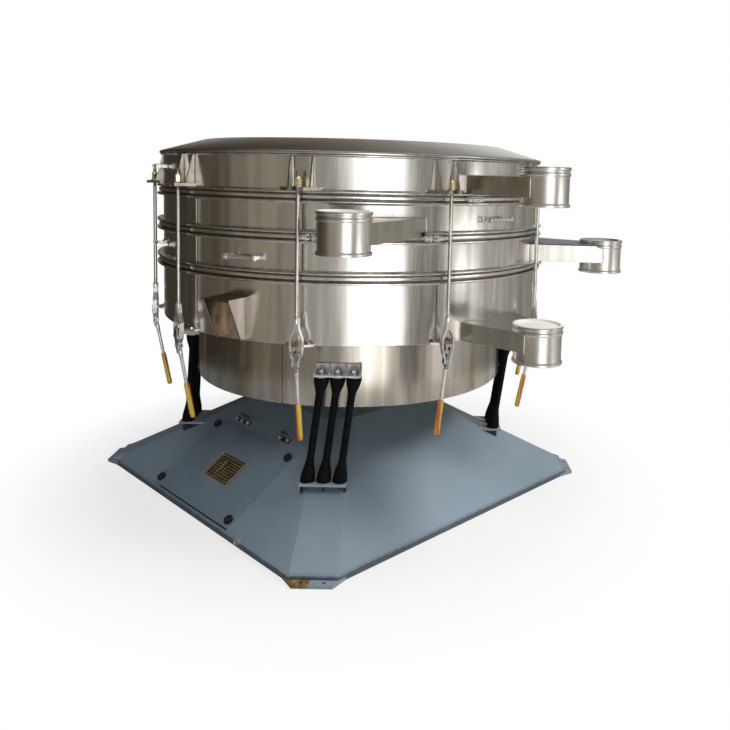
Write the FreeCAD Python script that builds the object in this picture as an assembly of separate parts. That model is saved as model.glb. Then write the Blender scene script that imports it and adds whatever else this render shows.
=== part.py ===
"""Swing sieve machine: a three-deck round sieve on twelve flexible rods over a pyramid base.

Lengths are in millimetres. The origin is the centre of the base on the floor and +Z is up.
The hatch is on the -Y side of the base. Angles round the sieve start at -Y and grow towards +X.
"""
import FreeCAD, Part
import math
import os

V = FreeCAD.Vector
UP = V(0, 0, 1)

# Gap between pieces that touch on the real machine, and reach of a cutter past what it cuts
seat_gap = 0.3
past = 1.0

# Base housing: a pyramid with a lip all round and a facet at each corner
base_half_x = 860.0
base_half_y = 845.0
base_lip = 28.0
base_ledge = 8.0
base_facet = 125.0
base_top_facet = 88.0
slope_run = 522.0
slope_rise = 333.0
base_sheet = 8.0

# Corner pads, each with two anchor holes beyond the foot of the facet
pad_thickness = 12.0
pad_spread = 165.0
pad_reach = 16.0
pad_margin = 20.0
anchor_out = 17.7
anchor_spacing = 82.0
anchor_hole_r = 7.0

# Hatch, its knobs and the name plate, measured up the slope from the foot of the -Y face
hatch_centre_x = -14.0
hatch_half_width = 312.0
hatch_low = 4.0
hatch_high = 412.0
hatch_thickness = 4.0
hatch_corner_r = 18.0
knob_inset_x = 24.0
knob_inset_up = 34.0
knob_across = 34.0
knob_height = 20.0
plate_centre_x = 0.0
plate_centre_up = 210.0
plate_width = 198.0
plate_height = 128.0
plate_thickness = 2.0

# Sieve body: it stands off the base centre by the throw of its swing
swing_x = -26.0
swing_y = 76.0
body_r = 900.0
body_sheet = 4.0
body_floor = 791.0
bottom_frame_height = 265.0
lower_frame_height = 158.0
upper_frame_height = 153.0
top_frame_height = 160.0
floor_thickness = 6.0

# Joints between the frames: two flanges with a clamping band between them
flange_reach = 28.0
flange_thickness = 9.0
band_height = 27.4
band_play = 6.0
band_depth = 15.0
latch_length = 54.0
latch_depth = 22.0
latch_height = 26.0
latch_slot = 10.0
latch_back = 4.0
latch_angles = {"top": (81.0, 261.0), "upper": (39.6, 69.3, 219.6), "lower": (127.0, 307.0)}

# Top flange and lid
rim_reach = 12.0
rim_thickness = 6.0
lid_overhang = 17.0
lid_rim_height = 12.0
lid_rim_width = 19.0
lid_slope_width = 195.0
lid_height = 70.0
lid_sheet = 3.0

# Drum under the body
drum_inset = 153.0
drum_height = 291.0
drum_bottom = 8.0

# Outlets, one on each frame: height of the spout above the foot of its frame,
# lift of the chute above the middle of its spout, and where spout and mouth stand
spout_rise = {"top": 57.0, "upper": 41.0, "lower": 46.0, "bottom": 30.0}
chute_lift = {"top": 0.0, "upper": 0.0, "lower": 14.0, "bottom": 11.0}
spout_reach = {"top": 300.0, "upper": 300.0, "lower": 310.0, "bottom": 290.0}
spout_angle = {"top": 86.5, "upper": 48.2, "lower": 123.0, "bottom": 86.8}
mouth_angles = {"top": (79.2, 102.3), "upper": (42.6, 68.1), "lower": (114.0, 137.5),
                "bottom": (78.6, 101.8)}
spout_r = 93.0
spout_height = 148.0
spout_sheet = 3.0
bead_reach = 5.0
bead_height = 14.0
cap_rim = 8.0
cap_depth = 8.0
chute_height = 76.0
chute_root = 30.0
mouth_play = 1.0

# Toggle clamps: a lever under each one pulls a tension rod down on the top joint
clamp_count = 10
first_clamp_angle = 1.0
pivot_reach = 54.0
pivot_drop = 21.0
over_centre = 4.0
link_drop = 40.0
pin_r = 7.0
pin_play = 0.05

# Clamp bracket on the top joint
bracket_thickness = 12.0
bracket_half_width = 80.0
bracket_shoulder = 14.0
bracket_tip_half = 30.0
bracket_tip = 32.0
slot_half = 13.0
bracket_root = 10.0
rib_spacing = 86.0
rib_thickness = 6.0
rib_foot = 40.0
rib_head = 9.0

# Tension rod with its washer, long nut and yoke
rod_r = 8.0
rod_above_nut = 20.0
nut_across = 24.0
nut_height = 35.0
nut_play = 0.5
washer_r = 17.0
washer_height = 4.0
yoke_depth = 20.0
yoke_rise = 135.0
yoke_head = 42.0
yoke_head_half = 11.0
yoke_shoulder = 24.0
yoke_wide_half = 27.0
yoke_waist = 14.0
yoke_taper = 16.0
yoke_foot = 12.0
strap_thickness = 5.0
strap_play = 0.5

# Lever with its grip, and the lug that carries it
lever_thickness = 12.0
lever_eye_r = 10.0
lever_tail = 34.0
lever_lean = 11.0
shank_r = 6.5
shank_start = 20.0
shank_length = 170.0
grip_start = 150.0
grip_r = 11.5
grip_length = 156.0
pin_end = 3.0
cheek_thickness = 7.0
cheek_play = 0.8
cheek_r = 12.0
lug_thickness = 9.0
lug_half_width = 56.0
lug_shoulder = 12.0
lug_neck = 16.0

# Bar handles: height above the foot of the frame that carries them, and angles
handle_length = 150.0
handle_reach = 34.0
handle_bar_r = 8.0
handle_leg = 12.0
handle_leg_inset = 10.0
handle_rise = {"top": 101.0, "upper": 70.0, "lower": 68.0}
handle_angles = {"top": (340.5, 160.5), "upper": (90.0, 270.0), "lower": (21.7, 340.5, 200.0, 160.5)}

# Box brackets on the bottom frame
box_angles = (18.5, 198.5)
box_half_width = 63.5
box_rise = 174.0
box_foot = 5.0
box_reach_top = 105.0
box_reach_foot = 32.0
box_sheet = 8.0
box_hole_r = 9.0
box_hole_reach = 58.0

# Flexible legs: three rods each, from a foot on the corner facet to a head on the drum
leg_angles = (45.0, 135.0, 225.0, 315.0)
leg_twist = 0.9
leg_foot_r = 755.0
foot_stand = 30.0
head_out = 37.0
head_drop = 154.0
drum_play = 3.0
leg_rod_count = 3
leg_rod_spacing = 65.0
rod_end_r = 31.0
rod_waist_r = 17.0
rod_collar = 14.0
rod_flare_low = 75.0
rod_flare_high = 50.0
leg_plate_length = 190.0
foot_inward = 95.0
foot_outward = 37.0
foot_thickness = 10.0
foot_gusset = 8.0
foot_gusset_inset = 20.0
socket_r = 27.0
socket_height = 18.0
head_block_height = 42.0
head_block_out = 40.0
head_root = 30.0
patch_height = 24.0
patch_thickness = 8.0

# Levels and radii that follow from the sizes above
frame_foot = {
    "bottom": body_floor,
    "lower": body_floor + bottom_frame_height,
    "upper": body_floor + bottom_frame_height + lower_frame_height,
    "top": body_floor + bottom_frame_height + lower_frame_height + upper_frame_height,
}
body_top = frame_foot["top"] + top_frame_height
flange_near = band_height / 2 + seat_gap
flange_far = flange_near + flange_thickness
drum_r = body_r - drum_inset
drum_floor = body_floor - drum_height
bracket_seat = frame_foot["top"] + flange_far + seat_gap
bracket_top = bracket_seat + bracket_thickness
pivot_r = body_r + pivot_reach
pivot_z = body_floor - pivot_drop
link_r = pivot_r - over_centre
link_z = pivot_z - link_drop
lug_half = lever_thickness / 2 + cheek_play + cheek_thickness

os.makedirs("parts", exist_ok=True)


def polar(radius, angle, z=0.0):
    """A point at an angle counted from -Y towards +X."""
    turn = math.radians(angle)
    return V(radius * math.sin(turn), -radius * math.cos(turn), z)


def turned(shape, angle):
    """Turns a shape made along +X to an angle counted from -Y."""
    copy = shape.copy()
    copy.rotate(V(0, 0, 0), UP, angle - 90.0)
    return copy


def on_body(shape):
    """Moves a shape made round the Z axis to the axis of the sieve body."""
    copy = shape.copy()
    copy.translate(V(swing_x, swing_y, 0))
    return copy


def moved(shape, x, y, z=0.0):
    copy = shape.copy()
    copy.translate(V(x, y, z))
    return copy


def wire(points):
    return Part.makePolygon([V(*p) for p in points] + [V(*points[0])])


def revolve(profile):
    """Solid of revolution about the Z axis from (radius, z) points."""
    face = Part.Face(wire([(r, 0, z) for r, z in profile]))
    return face.revolve(V(0, 0, 0), UP, 360.0)


def tube(outer, inner, low, high):
    return revolve([(inner, low), (outer, low), (outer, high), (inner, high)])


def disc(radius, low, high):
    return Part.makeCylinder(radius, high - low, V(0, 0, low))


def box(x0, x1, y0, y1, z0, z1):
    return Part.makeBox(x1 - x0, y1 - y0, z1 - z0, V(x0, y0, z0))


def cross_pin(radius, length, x, z):
    """Cylinder along Y, centred on the radial plane."""
    return Part.makeCylinder(radius, length, V(x, -length / 2, z), V(0, 1, 0))


def side_plate(points, thickness, middle=0.0):
    """Plate in a radial plane from (radius, z) points."""
    face = Part.Face(wire([(x, middle - thickness / 2, z) for x, z in points]))
    return face.extrude(V(0, thickness, 0))


def flat_plate(points, low, high):
    face = Part.Face(wire([(x, y, low) for x, y in points]))
    return face.extrude(V(0, 0, high - low))


def both_sides(points):
    """Closes an outline given for the +Y side with its mirror image."""
    return points + [(x, -y) for x, y in reversed(points)]


def frustum(low_corners, high_corners):
    """Solid with flat sides between two outlines that have as many corners."""
    count = len(low_corners)
    faces = [Part.Face(wire(low_corners)), Part.Face(wire(high_corners))]
    for k in range(count):
        after = (k + 1) % count
        side = [low_corners[k], low_corners[after], high_corners[after], high_corners[k]]
        faces.append(Part.Face(wire(side)))
    solid = Part.Solid(Part.Shell(faces))
    return solid if solid.Volume > 0 else solid.reversed()


def hexagon(x, y, across):
    corners = []
    for k in range(6):
        turn = math.radians(60 * k)
        corners.append((x + across / 2 * math.cos(turn), y + across / 2 * math.sin(turn)))
    return corners


def together(shapes):
    return Part.makeCompound(list(shapes))


def fused(shapes):
    return shapes[0].fuse(shapes[1:]).removeSplitter()


# Base

def octagon(half_x, half_y, facet, z):
    in_x, in_y = half_x - facet, half_y - facet
    corners = [(in_x, -half_y), (half_x, -in_y), (half_x, in_y), (in_x, half_y),
               (-in_x, half_y), (-half_x, in_y), (-half_x, -in_y), (-in_x, -half_y)]
    return [(x, y, z) for x, y in corners]


def pyramid(inset):
    """Solid pyramid with its lip, drawn in by a sheet thickness."""
    half_x, half_y = base_half_x - inset, base_half_y - inset
    lip_top = base_lip - inset
    foot_x, foot_y = half_x - base_ledge, half_y - base_ledge
    top_x, top_y = foot_x - slope_run, foot_y - slope_run
    lip = frustum(octagon(half_x, half_y, base_facet, 0), octagon(half_x, half_y, base_facet, lip_top))
    slopes = frustum(octagon(foot_x, foot_y, base_facet, lip_top),
                     octagon(top_x, top_y, base_top_facet, lip_top + slope_rise))
    return lip.fuse(slopes)


def facet_height(radius):
    """Height of a corner facet at a distance from the base centre."""
    foot = (base_half_x + base_half_y - 2 * base_ledge - base_facet) / math.sqrt(2)
    top = (base_half_x + base_half_y - 2 * (base_ledge + slope_run) - base_top_facet) / math.sqrt(2)
    return base_lip + slope_rise * (foot - radius) / (foot - top)


def base_housing():
    return pyramid(0.0).cut(pyramid(base_sheet)).removeSplitter()


def corner_pad(side_x, side_y):
    """Flat pad round one corner of the lip with its two anchor holes."""
    far = base_facet - math.sqrt(2) * (anchor_out + pad_margin) + pad_reach
    near_hole = base_facet / 2 - (anchor_out + anchor_spacing / 2) / math.sqrt(2)
    far_hole = base_facet / 2 - (anchor_out - anchor_spacing / 2) / math.sqrt(2)
    outline = [(pad_spread, pad_spread), (pad_spread, 0), (far, -pad_reach), (-pad_reach, far),
               (0, pad_spread)]
    corners = [(side_x * (base_half_x - u), side_y * (base_half_y - v)) for u, v in outline]
    pad = flat_plate(corners, 0, pad_thickness)
    room = octagon(base_half_x + seat_gap, base_half_y + seat_gap, base_facet, -past)
    cutters = [frustum(room, [(x, y, base_lip) for x, y, z in room])]
    for u, v in ((near_hole, far_hole), (far_hole, near_hole)):
        hole = disc(anchor_hole_r, -past, pad_thickness + past)
        cutters.append(moved(hole, side_x * (base_half_x - u), side_y * (base_half_y - v)))
    return pad.cut(cutters)


def corner_pads():
    return together(corner_pad(x, y) for x in (-1, 1) for y in (-1, 1))


def on_slope(shape, above):
    """Lays a flat shape, X along the face and Y up the slope, on the -Y face."""
    copy = moved(shape, 0, 0, above)
    copy.rotate(V(0, 0, 0), V(1, 0, 0), math.degrees(math.atan2(slope_rise, slope_run)))
    copy.translate(V(0, base_ledge - base_half_y, base_lip))
    return copy


def hatch_cover():
    cover = box(hatch_centre_x - hatch_half_width, hatch_centre_x + hatch_half_width,
                hatch_low, hatch_high, 0, hatch_thickness)
    upright = [e for e in cover.Edges if e.BoundBox.ZLength > hatch_thickness / 2]
    return on_slope(cover.makeFillet(hatch_corner_r, upright), seat_gap)


def hatch_knobs():
    knobs = []
    for side in (-1, 1):
        for up in (hatch_low + knob_inset_up, hatch_high - knob_inset_up):
            x = hatch_centre_x + side * (hatch_half_width - knob_inset_x)
            knobs.append(flat_plate(hexagon(x, up, knob_across), 0, knob_height))
    return on_slope(together(knobs), hatch_thickness + 2 * seat_gap)


def name_plate():
    plate = box(plate_centre_x - plate_width / 2, plate_centre_x + plate_width / 2,
                plate_centre_up - plate_height / 2, plate_centre_up + plate_height / 2,
                0, plate_thickness)
    return on_slope(plate, hatch_thickness + 2 * seat_gap)


# Flexible legs

def leg_rod_offsets():
    middle = (leg_rod_count - 1) / 2
    return [(k - middle) * leg_rod_spacing for k in range(leg_rod_count)]


def foot_level():
    return facet_height(leg_foot_r) + foot_stand


def head_level():
    return body_floor - head_drop


def head_radius(angle):
    """Distance of a head from the body axis, far enough out for its rods to clear the drum."""
    foot = polar(leg_foot_r, angle) - V(swing_x, swing_y, 0)
    share = (drum_floor - foot_level()) / (head_level() - foot_level())
    clear = drum_r + rod_waist_r + drum_play
    return max(drum_r + head_out, (clear - (1 - share) * foot.Length) / share)


def flexible_rod(foot, head):
    """Leaning rod that flares to both ends, cut level where it seats."""
    axis = head - foot
    length = axis.Length
    profile = [(0, -rod_collar), (rod_end_r, -rod_collar), (rod_end_r, rod_collar),
               (rod_waist_r, rod_flare_low), (rod_waist_r, length - rod_flare_high),
               (rod_end_r, length - rod_collar), (rod_end_r, length + rod_collar),
               (0, length + rod_collar)]
    rod = revolve(profile)
    rod.rotate(V(0, 0, 0), UP.cross(axis), math.degrees(UP.getAngle(axis)))
    rod.translate(foot)
    room = 2 * (abs(axis.x) + abs(axis.y)) + 4 * rod_end_r
    level_cut = box(foot.x - room, foot.x + room, foot.y - room, foot.y + room, foot.z, head.z)
    return rod.common(level_cut)


def flexible_rods():
    rods = []
    for angle in leg_angles:
        for offset in leg_rod_offsets():
            foot = polar(leg_foot_r, angle, foot_level() + seat_gap) + polar(offset, angle + 90.0)
            head = polar(head_radius(angle), angle + leg_twist, head_level())
            head += polar(offset, angle + leg_twist + 90.0) + V(swing_x, swing_y, 0)
            rods.append(flexible_rod(foot, head))
    return together(rods)


def leg_foot():
    """Foot plate over one corner facet with three gussets under it."""
    half = leg_plate_length / 2
    top = foot_level()
    low = top - foot_thickness
    inner, outer = leg_foot_r - foot_inward, leg_foot_r + foot_outward
    pieces = [box(inner, outer, -half, half, low, top)]
    for middle in (foot_gusset - half, 0.0, half - foot_gusset):
        outline = [(inner, base_lip), (outer - foot_gusset_inset, base_lip),
                   (outer - foot_gusset_inset, low + past), (inner, low + past)]
        pieces.append(side_plate(outline, foot_gusset, middle))
    return fused(pieces)


def leg_feet():
    outside = pyramid(-seat_gap)
    return together(turned(leg_foot(), a).cut(outside) for a in leg_angles)


def leg_head(middle):
    """Block on three sockets that ties the rods to the drum, with a flat patch above it."""
    half = leg_plate_length / 2
    low = head_level() + seat_gap
    block_low = low + socket_height
    block_top = block_low + head_block_height
    inner = drum_r - head_root
    outer = middle + head_block_out
    pieces = [box(inner, outer, -half, half, block_low, block_top),
              box(inner, drum_r + patch_thickness, -half, half, block_top, block_top + patch_height)]
    for offset in leg_rod_offsets():
        pieces.append(moved(disc(socket_r, low, block_low + past), middle, offset))
    return fused(pieces)


def leg_heads():
    inside = disc(drum_r + seat_gap, drum_floor, body_floor)
    heads = [turned(leg_head(head_radius(a)), a + leg_twist).cut(inside) for a in leg_angles]
    return on_body(together(heads))


# Sieve body

def frame_ring(name, high, joint_below, joint_above):
    """Rolled wall of a frame with the flanges of the joints at its ends."""
    inner = body_r - body_sheet
    flange_r = body_r + flange_reach
    low = frame_foot[name]
    profile = [(inner, low), (body_r, low)]
    if joint_below:
        profile += [(body_r, low + flange_near), (flange_r, low + flange_near),
                    (flange_r, low + flange_far), (body_r, low + flange_far)]
    if joint_above:
        profile += [(body_r, high - flange_far), (flange_r, high - flange_far),
                    (flange_r, high - flange_near), (body_r, high - flange_near)]
    profile += [(body_r, high), (inner, high)]
    return revolve(profile)


def chute(name, inset, extra_angle):
    """Block or hollow of a chute with straight sides from the body to its round spout."""
    centre = polar(body_r + spout_reach[name], spout_angle[name])
    radius = spout_r - inset
    first_angle, last_angle = mouth_angles[name]
    corners = []
    for mouth, side in ((first_angle - extra_angle, -1), (last_angle + extra_angle, 1)):
        start = polar(body_r - chute_root, mouth)
        reach = centre - start
        heading = math.atan2(reach.y, reach.x) + side * math.asin(radius / reach.Length)
        length = math.sqrt(reach.Length ** 2 - radius ** 2)
        tangent = start + V(math.cos(heading), math.sin(heading), 0) * length
        corners += [(start.x, start.y), (tangent.x, tangent.y)][::-side]
    middle = spout_level(name) + chute_lift[name]
    half = chute_height / 2 - inset
    return flat_plate(corners, middle - half, middle + half)


def spout_level(name):
    return frame_foot[name] + spout_rise[name]


def angle_of(length):
    """Angle that a length spans on the wall of the body."""
    return math.degrees(length / body_r)


def chute_hollow(name):
    return chute(name, spout_sheet, -angle_of(spout_sheet))


def chute_room(name):
    """Room that a chute needs outside the wall, a little larger than the chute."""
    return chute(name, -mouth_play, angle_of(mouth_play)).cut(disc(body_r, 0, body_top + lid_height))


def outlet(name):
    """Chute off the body with a round spout, capped above, open below, beaded at both ends."""
    low = spout_level(name) - spout_height / 2
    high = low + spout_height
    bead_r = spout_r + bead_reach
    cap = high - cap_depth
    shell = revolve([(0, low), (bead_r, low), (bead_r, low + bead_height), (spout_r, low + bead_height),
                     (spout_r, high - bead_height), (bead_r, high - bead_height), (bead_r, high),
                     (bead_r - cap_rim, high), (bead_r - cap_rim, cap), (0, cap)])
    centre = polar(body_r + spout_reach[name], spout_angle[name])
    bore = disc(spout_r - spout_sheet, low - past, cap - spout_sheet)
    solid = moved(shell, centre.x, centre.y).fuse(chute(name, 0.0, 0.0))
    solid = solid.cut([moved(bore, centre.x, centre.y), chute_hollow(name)])
    return on_body(solid.cut(disc(body_r + seat_gap, low - past, high + past)).removeSplitter())


def with_mouths(ring):
    """Cuts the outlet passages through a wall and frees the flanges round the chutes."""
    return ring.cut([chute_hollow(name) for name in frame_foot] + [chute_room(name) for name in frame_foot])


def top_frame():
    ring = frame_ring("top", body_top, True, False)
    rim = tube(body_r + rim_reach, body_r - body_sheet, body_top - rim_thickness, body_top)
    return on_body(with_mouths(ring.fuse(rim).removeSplitter()))


def middle_frame(name, above):
    return on_body(with_mouths(frame_ring(name, frame_foot[above] - seat_gap, True, True)))


def bottom_frame():
    ring = frame_ring("bottom", frame_foot["lower"] - seat_gap, False, True)
    floor = disc(body_r, body_floor, body_floor + floor_thickness)
    return on_body(with_mouths(ring.fuse(floor).removeSplitter()))


def lid():
    rim_low = body_top + seat_gap
    rim_high = rim_low + lid_rim_height
    top = body_top + lid_height
    lid_r = body_r + lid_overhang
    flat_r = lid_r - lid_slope_width
    seat_r = lid_r - lid_rim_width
    return on_body(revolve([(lid_r, rim_low), (lid_r, rim_high), (flat_r, top), (0, top),
                            (0, top - lid_sheet), (flat_r, top - lid_sheet),
                            (seat_r, rim_high - lid_sheet), (seat_r, rim_low)]))


def skirt_drum():
    high = body_floor - seat_gap
    return on_body(revolve([(0, drum_floor), (drum_r, drum_floor), (drum_r, high),
                            (drum_r - body_sheet, high), (drum_r - body_sheet, drum_floor + drum_bottom),
                            (0, drum_floor + drum_bottom)]))


def clamp_bands():
    rooms = [chute_room(name) for name in frame_foot]
    inner = body_r + band_play
    bands = []
    for name in latch_angles:
        low = frame_foot[name] - band_height / 2
        bands.append(tube(inner + band_depth, inner, low, low + band_height).cut(rooms))
    return on_body(together(bands))


def band_latches():
    """Closing pieces that stand on the bands, each with a slot across its front."""
    latches = []
    inner = body_r + band_play + band_depth
    for name, angles in latch_angles.items():
        low = frame_foot[name] - latch_height / 2
        high = low + latch_height
        outer = inner + latch_depth
        block = box(inner - latch_back, outer, -latch_length / 2, latch_length / 2, low, high)
        slot = box(inner + latch_back, outer + past, -latch_slot / 2, latch_slot / 2, low - past, high + past)
        latch = block.cut([slot, disc(inner + seat_gap, low - past, high + past)])
        latches += [turned(latch, angle) for angle in angles]
    return on_body(together(latches))


# Toggle clamps

def clamp_angles():
    return [first_clamp_angle + k * 360.0 / clamp_count for k in range(clamp_count)]


def clamp_bracket():
    """Pointed plate with an open slot for the rod and two tapered ribs up to the rim."""
    root = body_r - bracket_root
    tip = link_r + bracket_tip
    outline = [(root, bracket_half_width), (body_r + bracket_shoulder, bracket_half_width),
               (tip, bracket_tip_half)]
    plate = flat_plate(both_sides(outline), bracket_seat, bracket_top)
    slot = moved(disc(slot_half, bracket_seat - past, bracket_top + past), link_r, 0)
    open_end = box(link_r, tip + past, -slot_half, slot_half, bracket_seat - past, bracket_top + past)
    rib_top = body_top - rim_thickness - seat_gap
    ribs = []
    for side in (-1, 1):
        outline = [(root, bracket_top - past), (body_r + rib_foot, bracket_top - past),
                   (body_r + rib_head, rib_top), (root, rib_top)]
        ribs.append(side_plate(outline, rib_thickness, side * rib_spacing / 2))
    solid = fused([plate.cut([slot, open_end])] + ribs)
    return solid.cut(disc(body_r + seat_gap, bracket_seat - past, rib_top + past))


def clamp_brackets():
    room = chute_room("top")
    return on_body(together(turned(clamp_bracket(), a).cut(room) for a in clamp_angles()))


def lever_lug():
    """Pointed plate at the foot of the body with two cheeks that hold the lever pin."""
    high = body_floor + lug_thickness
    root = body_r - bracket_root
    tip = pivot_r + cheek_r
    outline = [(root, lug_half_width), (body_r + lug_shoulder, lug_half_width),
               (link_r - lug_neck, lug_half), (tip, lug_half)]
    pieces = [flat_plate(both_sides(outline), body_floor, high)]
    corner = cheek_r / 2
    for side in (-1, 1):
        outline = [(pivot_r - cheek_r, body_floor + past), (pivot_r - cheek_r, pivot_z - corner),
                   (pivot_r - corner, pivot_z - cheek_r), (pivot_r + corner, pivot_z - cheek_r),
                   (tip, pivot_z - corner), (tip, body_floor + past)]
        pieces.append(side_plate(outline, cheek_thickness, side * (lug_half - cheek_thickness / 2)))
    pieces.append(cross_pin(pin_r, 2 * lug_half, pivot_r, pivot_z))
    return fused(pieces).cut(disc(body_r + seat_gap, body_floor - past, high + past))


def lever_lugs():
    return on_body(together(turned(lever_lug(), a) for a in clamp_angles()))


def lever():
    """Lever plate with the pivot eye and the link pin, a leaning shank and a round grip."""
    eye = lever_eye_r
    corner = eye / 2
    outline = [(pivot_r - eye, pivot_z + corner), (pivot_r - corner, pivot_z + eye),
               (pivot_r + corner, pivot_z + eye), (pivot_r + eye, pivot_z + corner),
               (pivot_r + eye, pivot_z - eye), (link_r + eye, link_z),
               (link_r + corner, link_z - lever_tail), (link_r - eye, link_z - lever_tail),
               (link_r - eye, link_z), (pivot_r - eye, pivot_z - eye)]
    plate = side_plate(outline, lever_thickness)
    bore = cross_pin(pin_r + pin_play, lever_thickness + 2 * past, pivot_r, pivot_z)
    pin_half = lever_thickness / 2 + strap_play + strap_thickness + pin_end
    pin = cross_pin(pin_r, 2 * pin_half, link_r, link_z)
    lean = math.radians(lever_lean)
    direction = V(-math.sin(lean), 0, -math.cos(lean))
    start = V(link_r - corner / 2, 0, link_z - shank_start)
    shank = Part.makeCylinder(shank_r, shank_length, start, direction)
    grip = Part.makeCylinder(grip_r, grip_length, start + direction * grip_start, direction)
    return fused([plate, pin, shank, grip]).cut(bore)


def tension_rod():
    """Round rod with washer and long nut above, and a forked yoke for the link pin below."""
    inner = lever_thickness / 2 + strap_play
    top = pivot_z + yoke_rise
    wide = yoke_wide_half
    thick = strap_thickness
    neck = top - yoke_head
    shoulder = neck - yoke_shoulder
    waist = pivot_z - yoke_waist
    narrow = waist - yoke_taper
    foot = link_z - yoke_foot
    right = [(yoke_head_half, top), (yoke_head_half, neck), (wide, shoulder), (wide, waist),
             (inner + thick, narrow), (inner + thick, foot), (inner, foot), (inner, narrow),
             (wide - thick, waist), (wide - thick, shoulder), (yoke_head_half - thick, neck - thick)]
    outline = right + [(-y, z) for y, z in reversed(right)]
    face = Part.Face(wire([(link_r - yoke_depth / 2, y, z) for y, z in outline]))
    eye = cross_pin(pin_r + pin_play, 4 * yoke_wide_half, link_r, link_z)
    yoke = face.extrude(V(yoke_depth, 0, 0)).cut(eye)
    seat = bracket_top + nut_play
    nut_low = seat + washer_height
    nut_top = nut_low + nut_height
    rod = disc(rod_r, top - yoke_head / 2, nut_top + rod_above_nut)
    washer = disc(washer_r, seat, nut_low)
    nut = flat_plate(hexagon(0, 0, nut_across), nut_low, nut_top)
    return fused([yoke] + [moved(piece, link_r, 0) for piece in (rod, washer, nut)])


# Handles and brackets

def bar_handle():
    """Round bar along the wall on two square legs."""
    half = handle_length / 2
    reach = body_r + handle_reach
    pieces = [Part.makeCylinder(handle_bar_r, handle_length, V(reach, -half, 0), V(0, 1, 0))]
    for side in (-1, 1):
        middle = side * (half - handle_leg_inset)
        leg = box(body_r - handle_leg, reach, middle - handle_leg / 2, middle + handle_leg / 2,
                  -handle_leg / 2, handle_leg / 2)
        pieces.append(leg)
    return fused(pieces).cut(disc(body_r + seat_gap, -handle_leg, handle_leg))


def bar_handles():
    handles = []
    for name, angles in handle_angles.items():
        for angle in angles:
            handles.append(moved(turned(bar_handle(), angle), 0, 0, frame_foot[name] + handle_rise[name]))
    return on_body(together(handles))


def box_bracket():
    """Open box bracket: a top plate with a hole on two side plates that narrow to the foot."""
    root = body_r - box_reach_foot
    low, high = body_floor + box_foot, body_floor + box_rise
    outer = body_r + box_reach_top
    top = box(root, outer, -box_half_width, box_half_width, high - box_sheet, high)
    hole = moved(disc(box_hole_r, high - box_sheet - past, high + past), body_r + box_hole_reach, 0)
    pieces = [top.cut(hole)]
    for side in (-1, 1):
        outline = [(root, low), (body_r + box_reach_foot, low), (outer, high - box_sheet + past),
                   (root, high - box_sheet + past)]
        pieces.append(side_plate(outline, box_sheet, side * (box_half_width - box_sheet / 2)))
    return fused(pieces).cut(disc(body_r + seat_gap, body_floor, high + past))


def box_brackets():
    return on_body(together(turned(box_bracket(), a) for a in box_angles))


# Export, one file for each node

def export(shape, node):
    shape.exportStep("parts/%s.step" % node)


fixed_nodes = {
    "base_housing": base_housing(),
    "corner_pads": corner_pads(),
    "hatch_cover": hatch_cover(),
    "hatch_knobs": hatch_knobs(),
    "name_plate": name_plate(),
    "leg_feet": leg_feet(),
    "flexible_rods": flexible_rods(),
    "leg_heads": leg_heads(),
    "skirt_drum": skirt_drum(),
    "bottom_frame": bottom_frame(),
    "lower_frame": middle_frame("lower", "upper"),
    "upper_frame": middle_frame("upper", "top"),
    "top_frame": top_frame(),
    "lid": lid(),
    "clamp_bands": clamp_bands(),
    "band_latches": band_latches(),
    "outlets": together(outlet(name) for name in frame_foot),
    "clamp_brackets": clamp_brackets(),
    "lever_lugs": lever_lugs(),
    "bar_handles": bar_handles(),
    "box_brackets": box_brackets(),
}
for node, shape in fixed_nodes.items():
    export(shape, node)

one_lever, one_rod = lever(), tension_rod()
for number, angle in enumerate(clamp_angles(), 1):
    export(on_body(turned(one_lever, angle)), "clamp_lever_%d" % number)
    export(on_body(turned(one_rod, angle)), "tension_rod_%d" % number)
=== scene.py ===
# %% [markdown]
# A swing sieve machine: four round shells under a low lid, held together by ten toggle clamps, with
# four side outlets, standing on flexible rods over a painted pyramid base.
# The CAD part gives the frame of this scene. The round shells are turned again here with finer
# edges, and the welds, bolts and threads that the CAD leaves out are added to them.

# %% Load the frame
import math
import random

import bmesh
import bpy
from mathutils import Matrix, Vector


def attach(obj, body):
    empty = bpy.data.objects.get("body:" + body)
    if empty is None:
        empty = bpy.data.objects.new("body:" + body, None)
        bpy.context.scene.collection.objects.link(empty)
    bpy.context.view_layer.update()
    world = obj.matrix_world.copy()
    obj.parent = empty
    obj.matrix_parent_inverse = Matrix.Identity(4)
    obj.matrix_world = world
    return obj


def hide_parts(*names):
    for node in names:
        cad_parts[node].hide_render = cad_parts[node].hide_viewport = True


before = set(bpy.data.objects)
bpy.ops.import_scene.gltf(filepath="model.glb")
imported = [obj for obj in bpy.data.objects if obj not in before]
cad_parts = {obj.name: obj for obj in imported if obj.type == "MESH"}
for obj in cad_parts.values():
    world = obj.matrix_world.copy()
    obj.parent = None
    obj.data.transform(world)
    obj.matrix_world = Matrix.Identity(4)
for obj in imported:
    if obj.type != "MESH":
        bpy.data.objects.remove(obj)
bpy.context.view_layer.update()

random.seed(11)
print("CAD nodes", len(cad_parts))

# %% [markdown]
# Sizes are written in millimetres, as in the CAD, and become metres when a mesh is made. Reading
# them from the CAD's meshes would work too, but a few named sizes are easier to follow. Each level
# is the joint at the foot of a shell.

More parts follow.
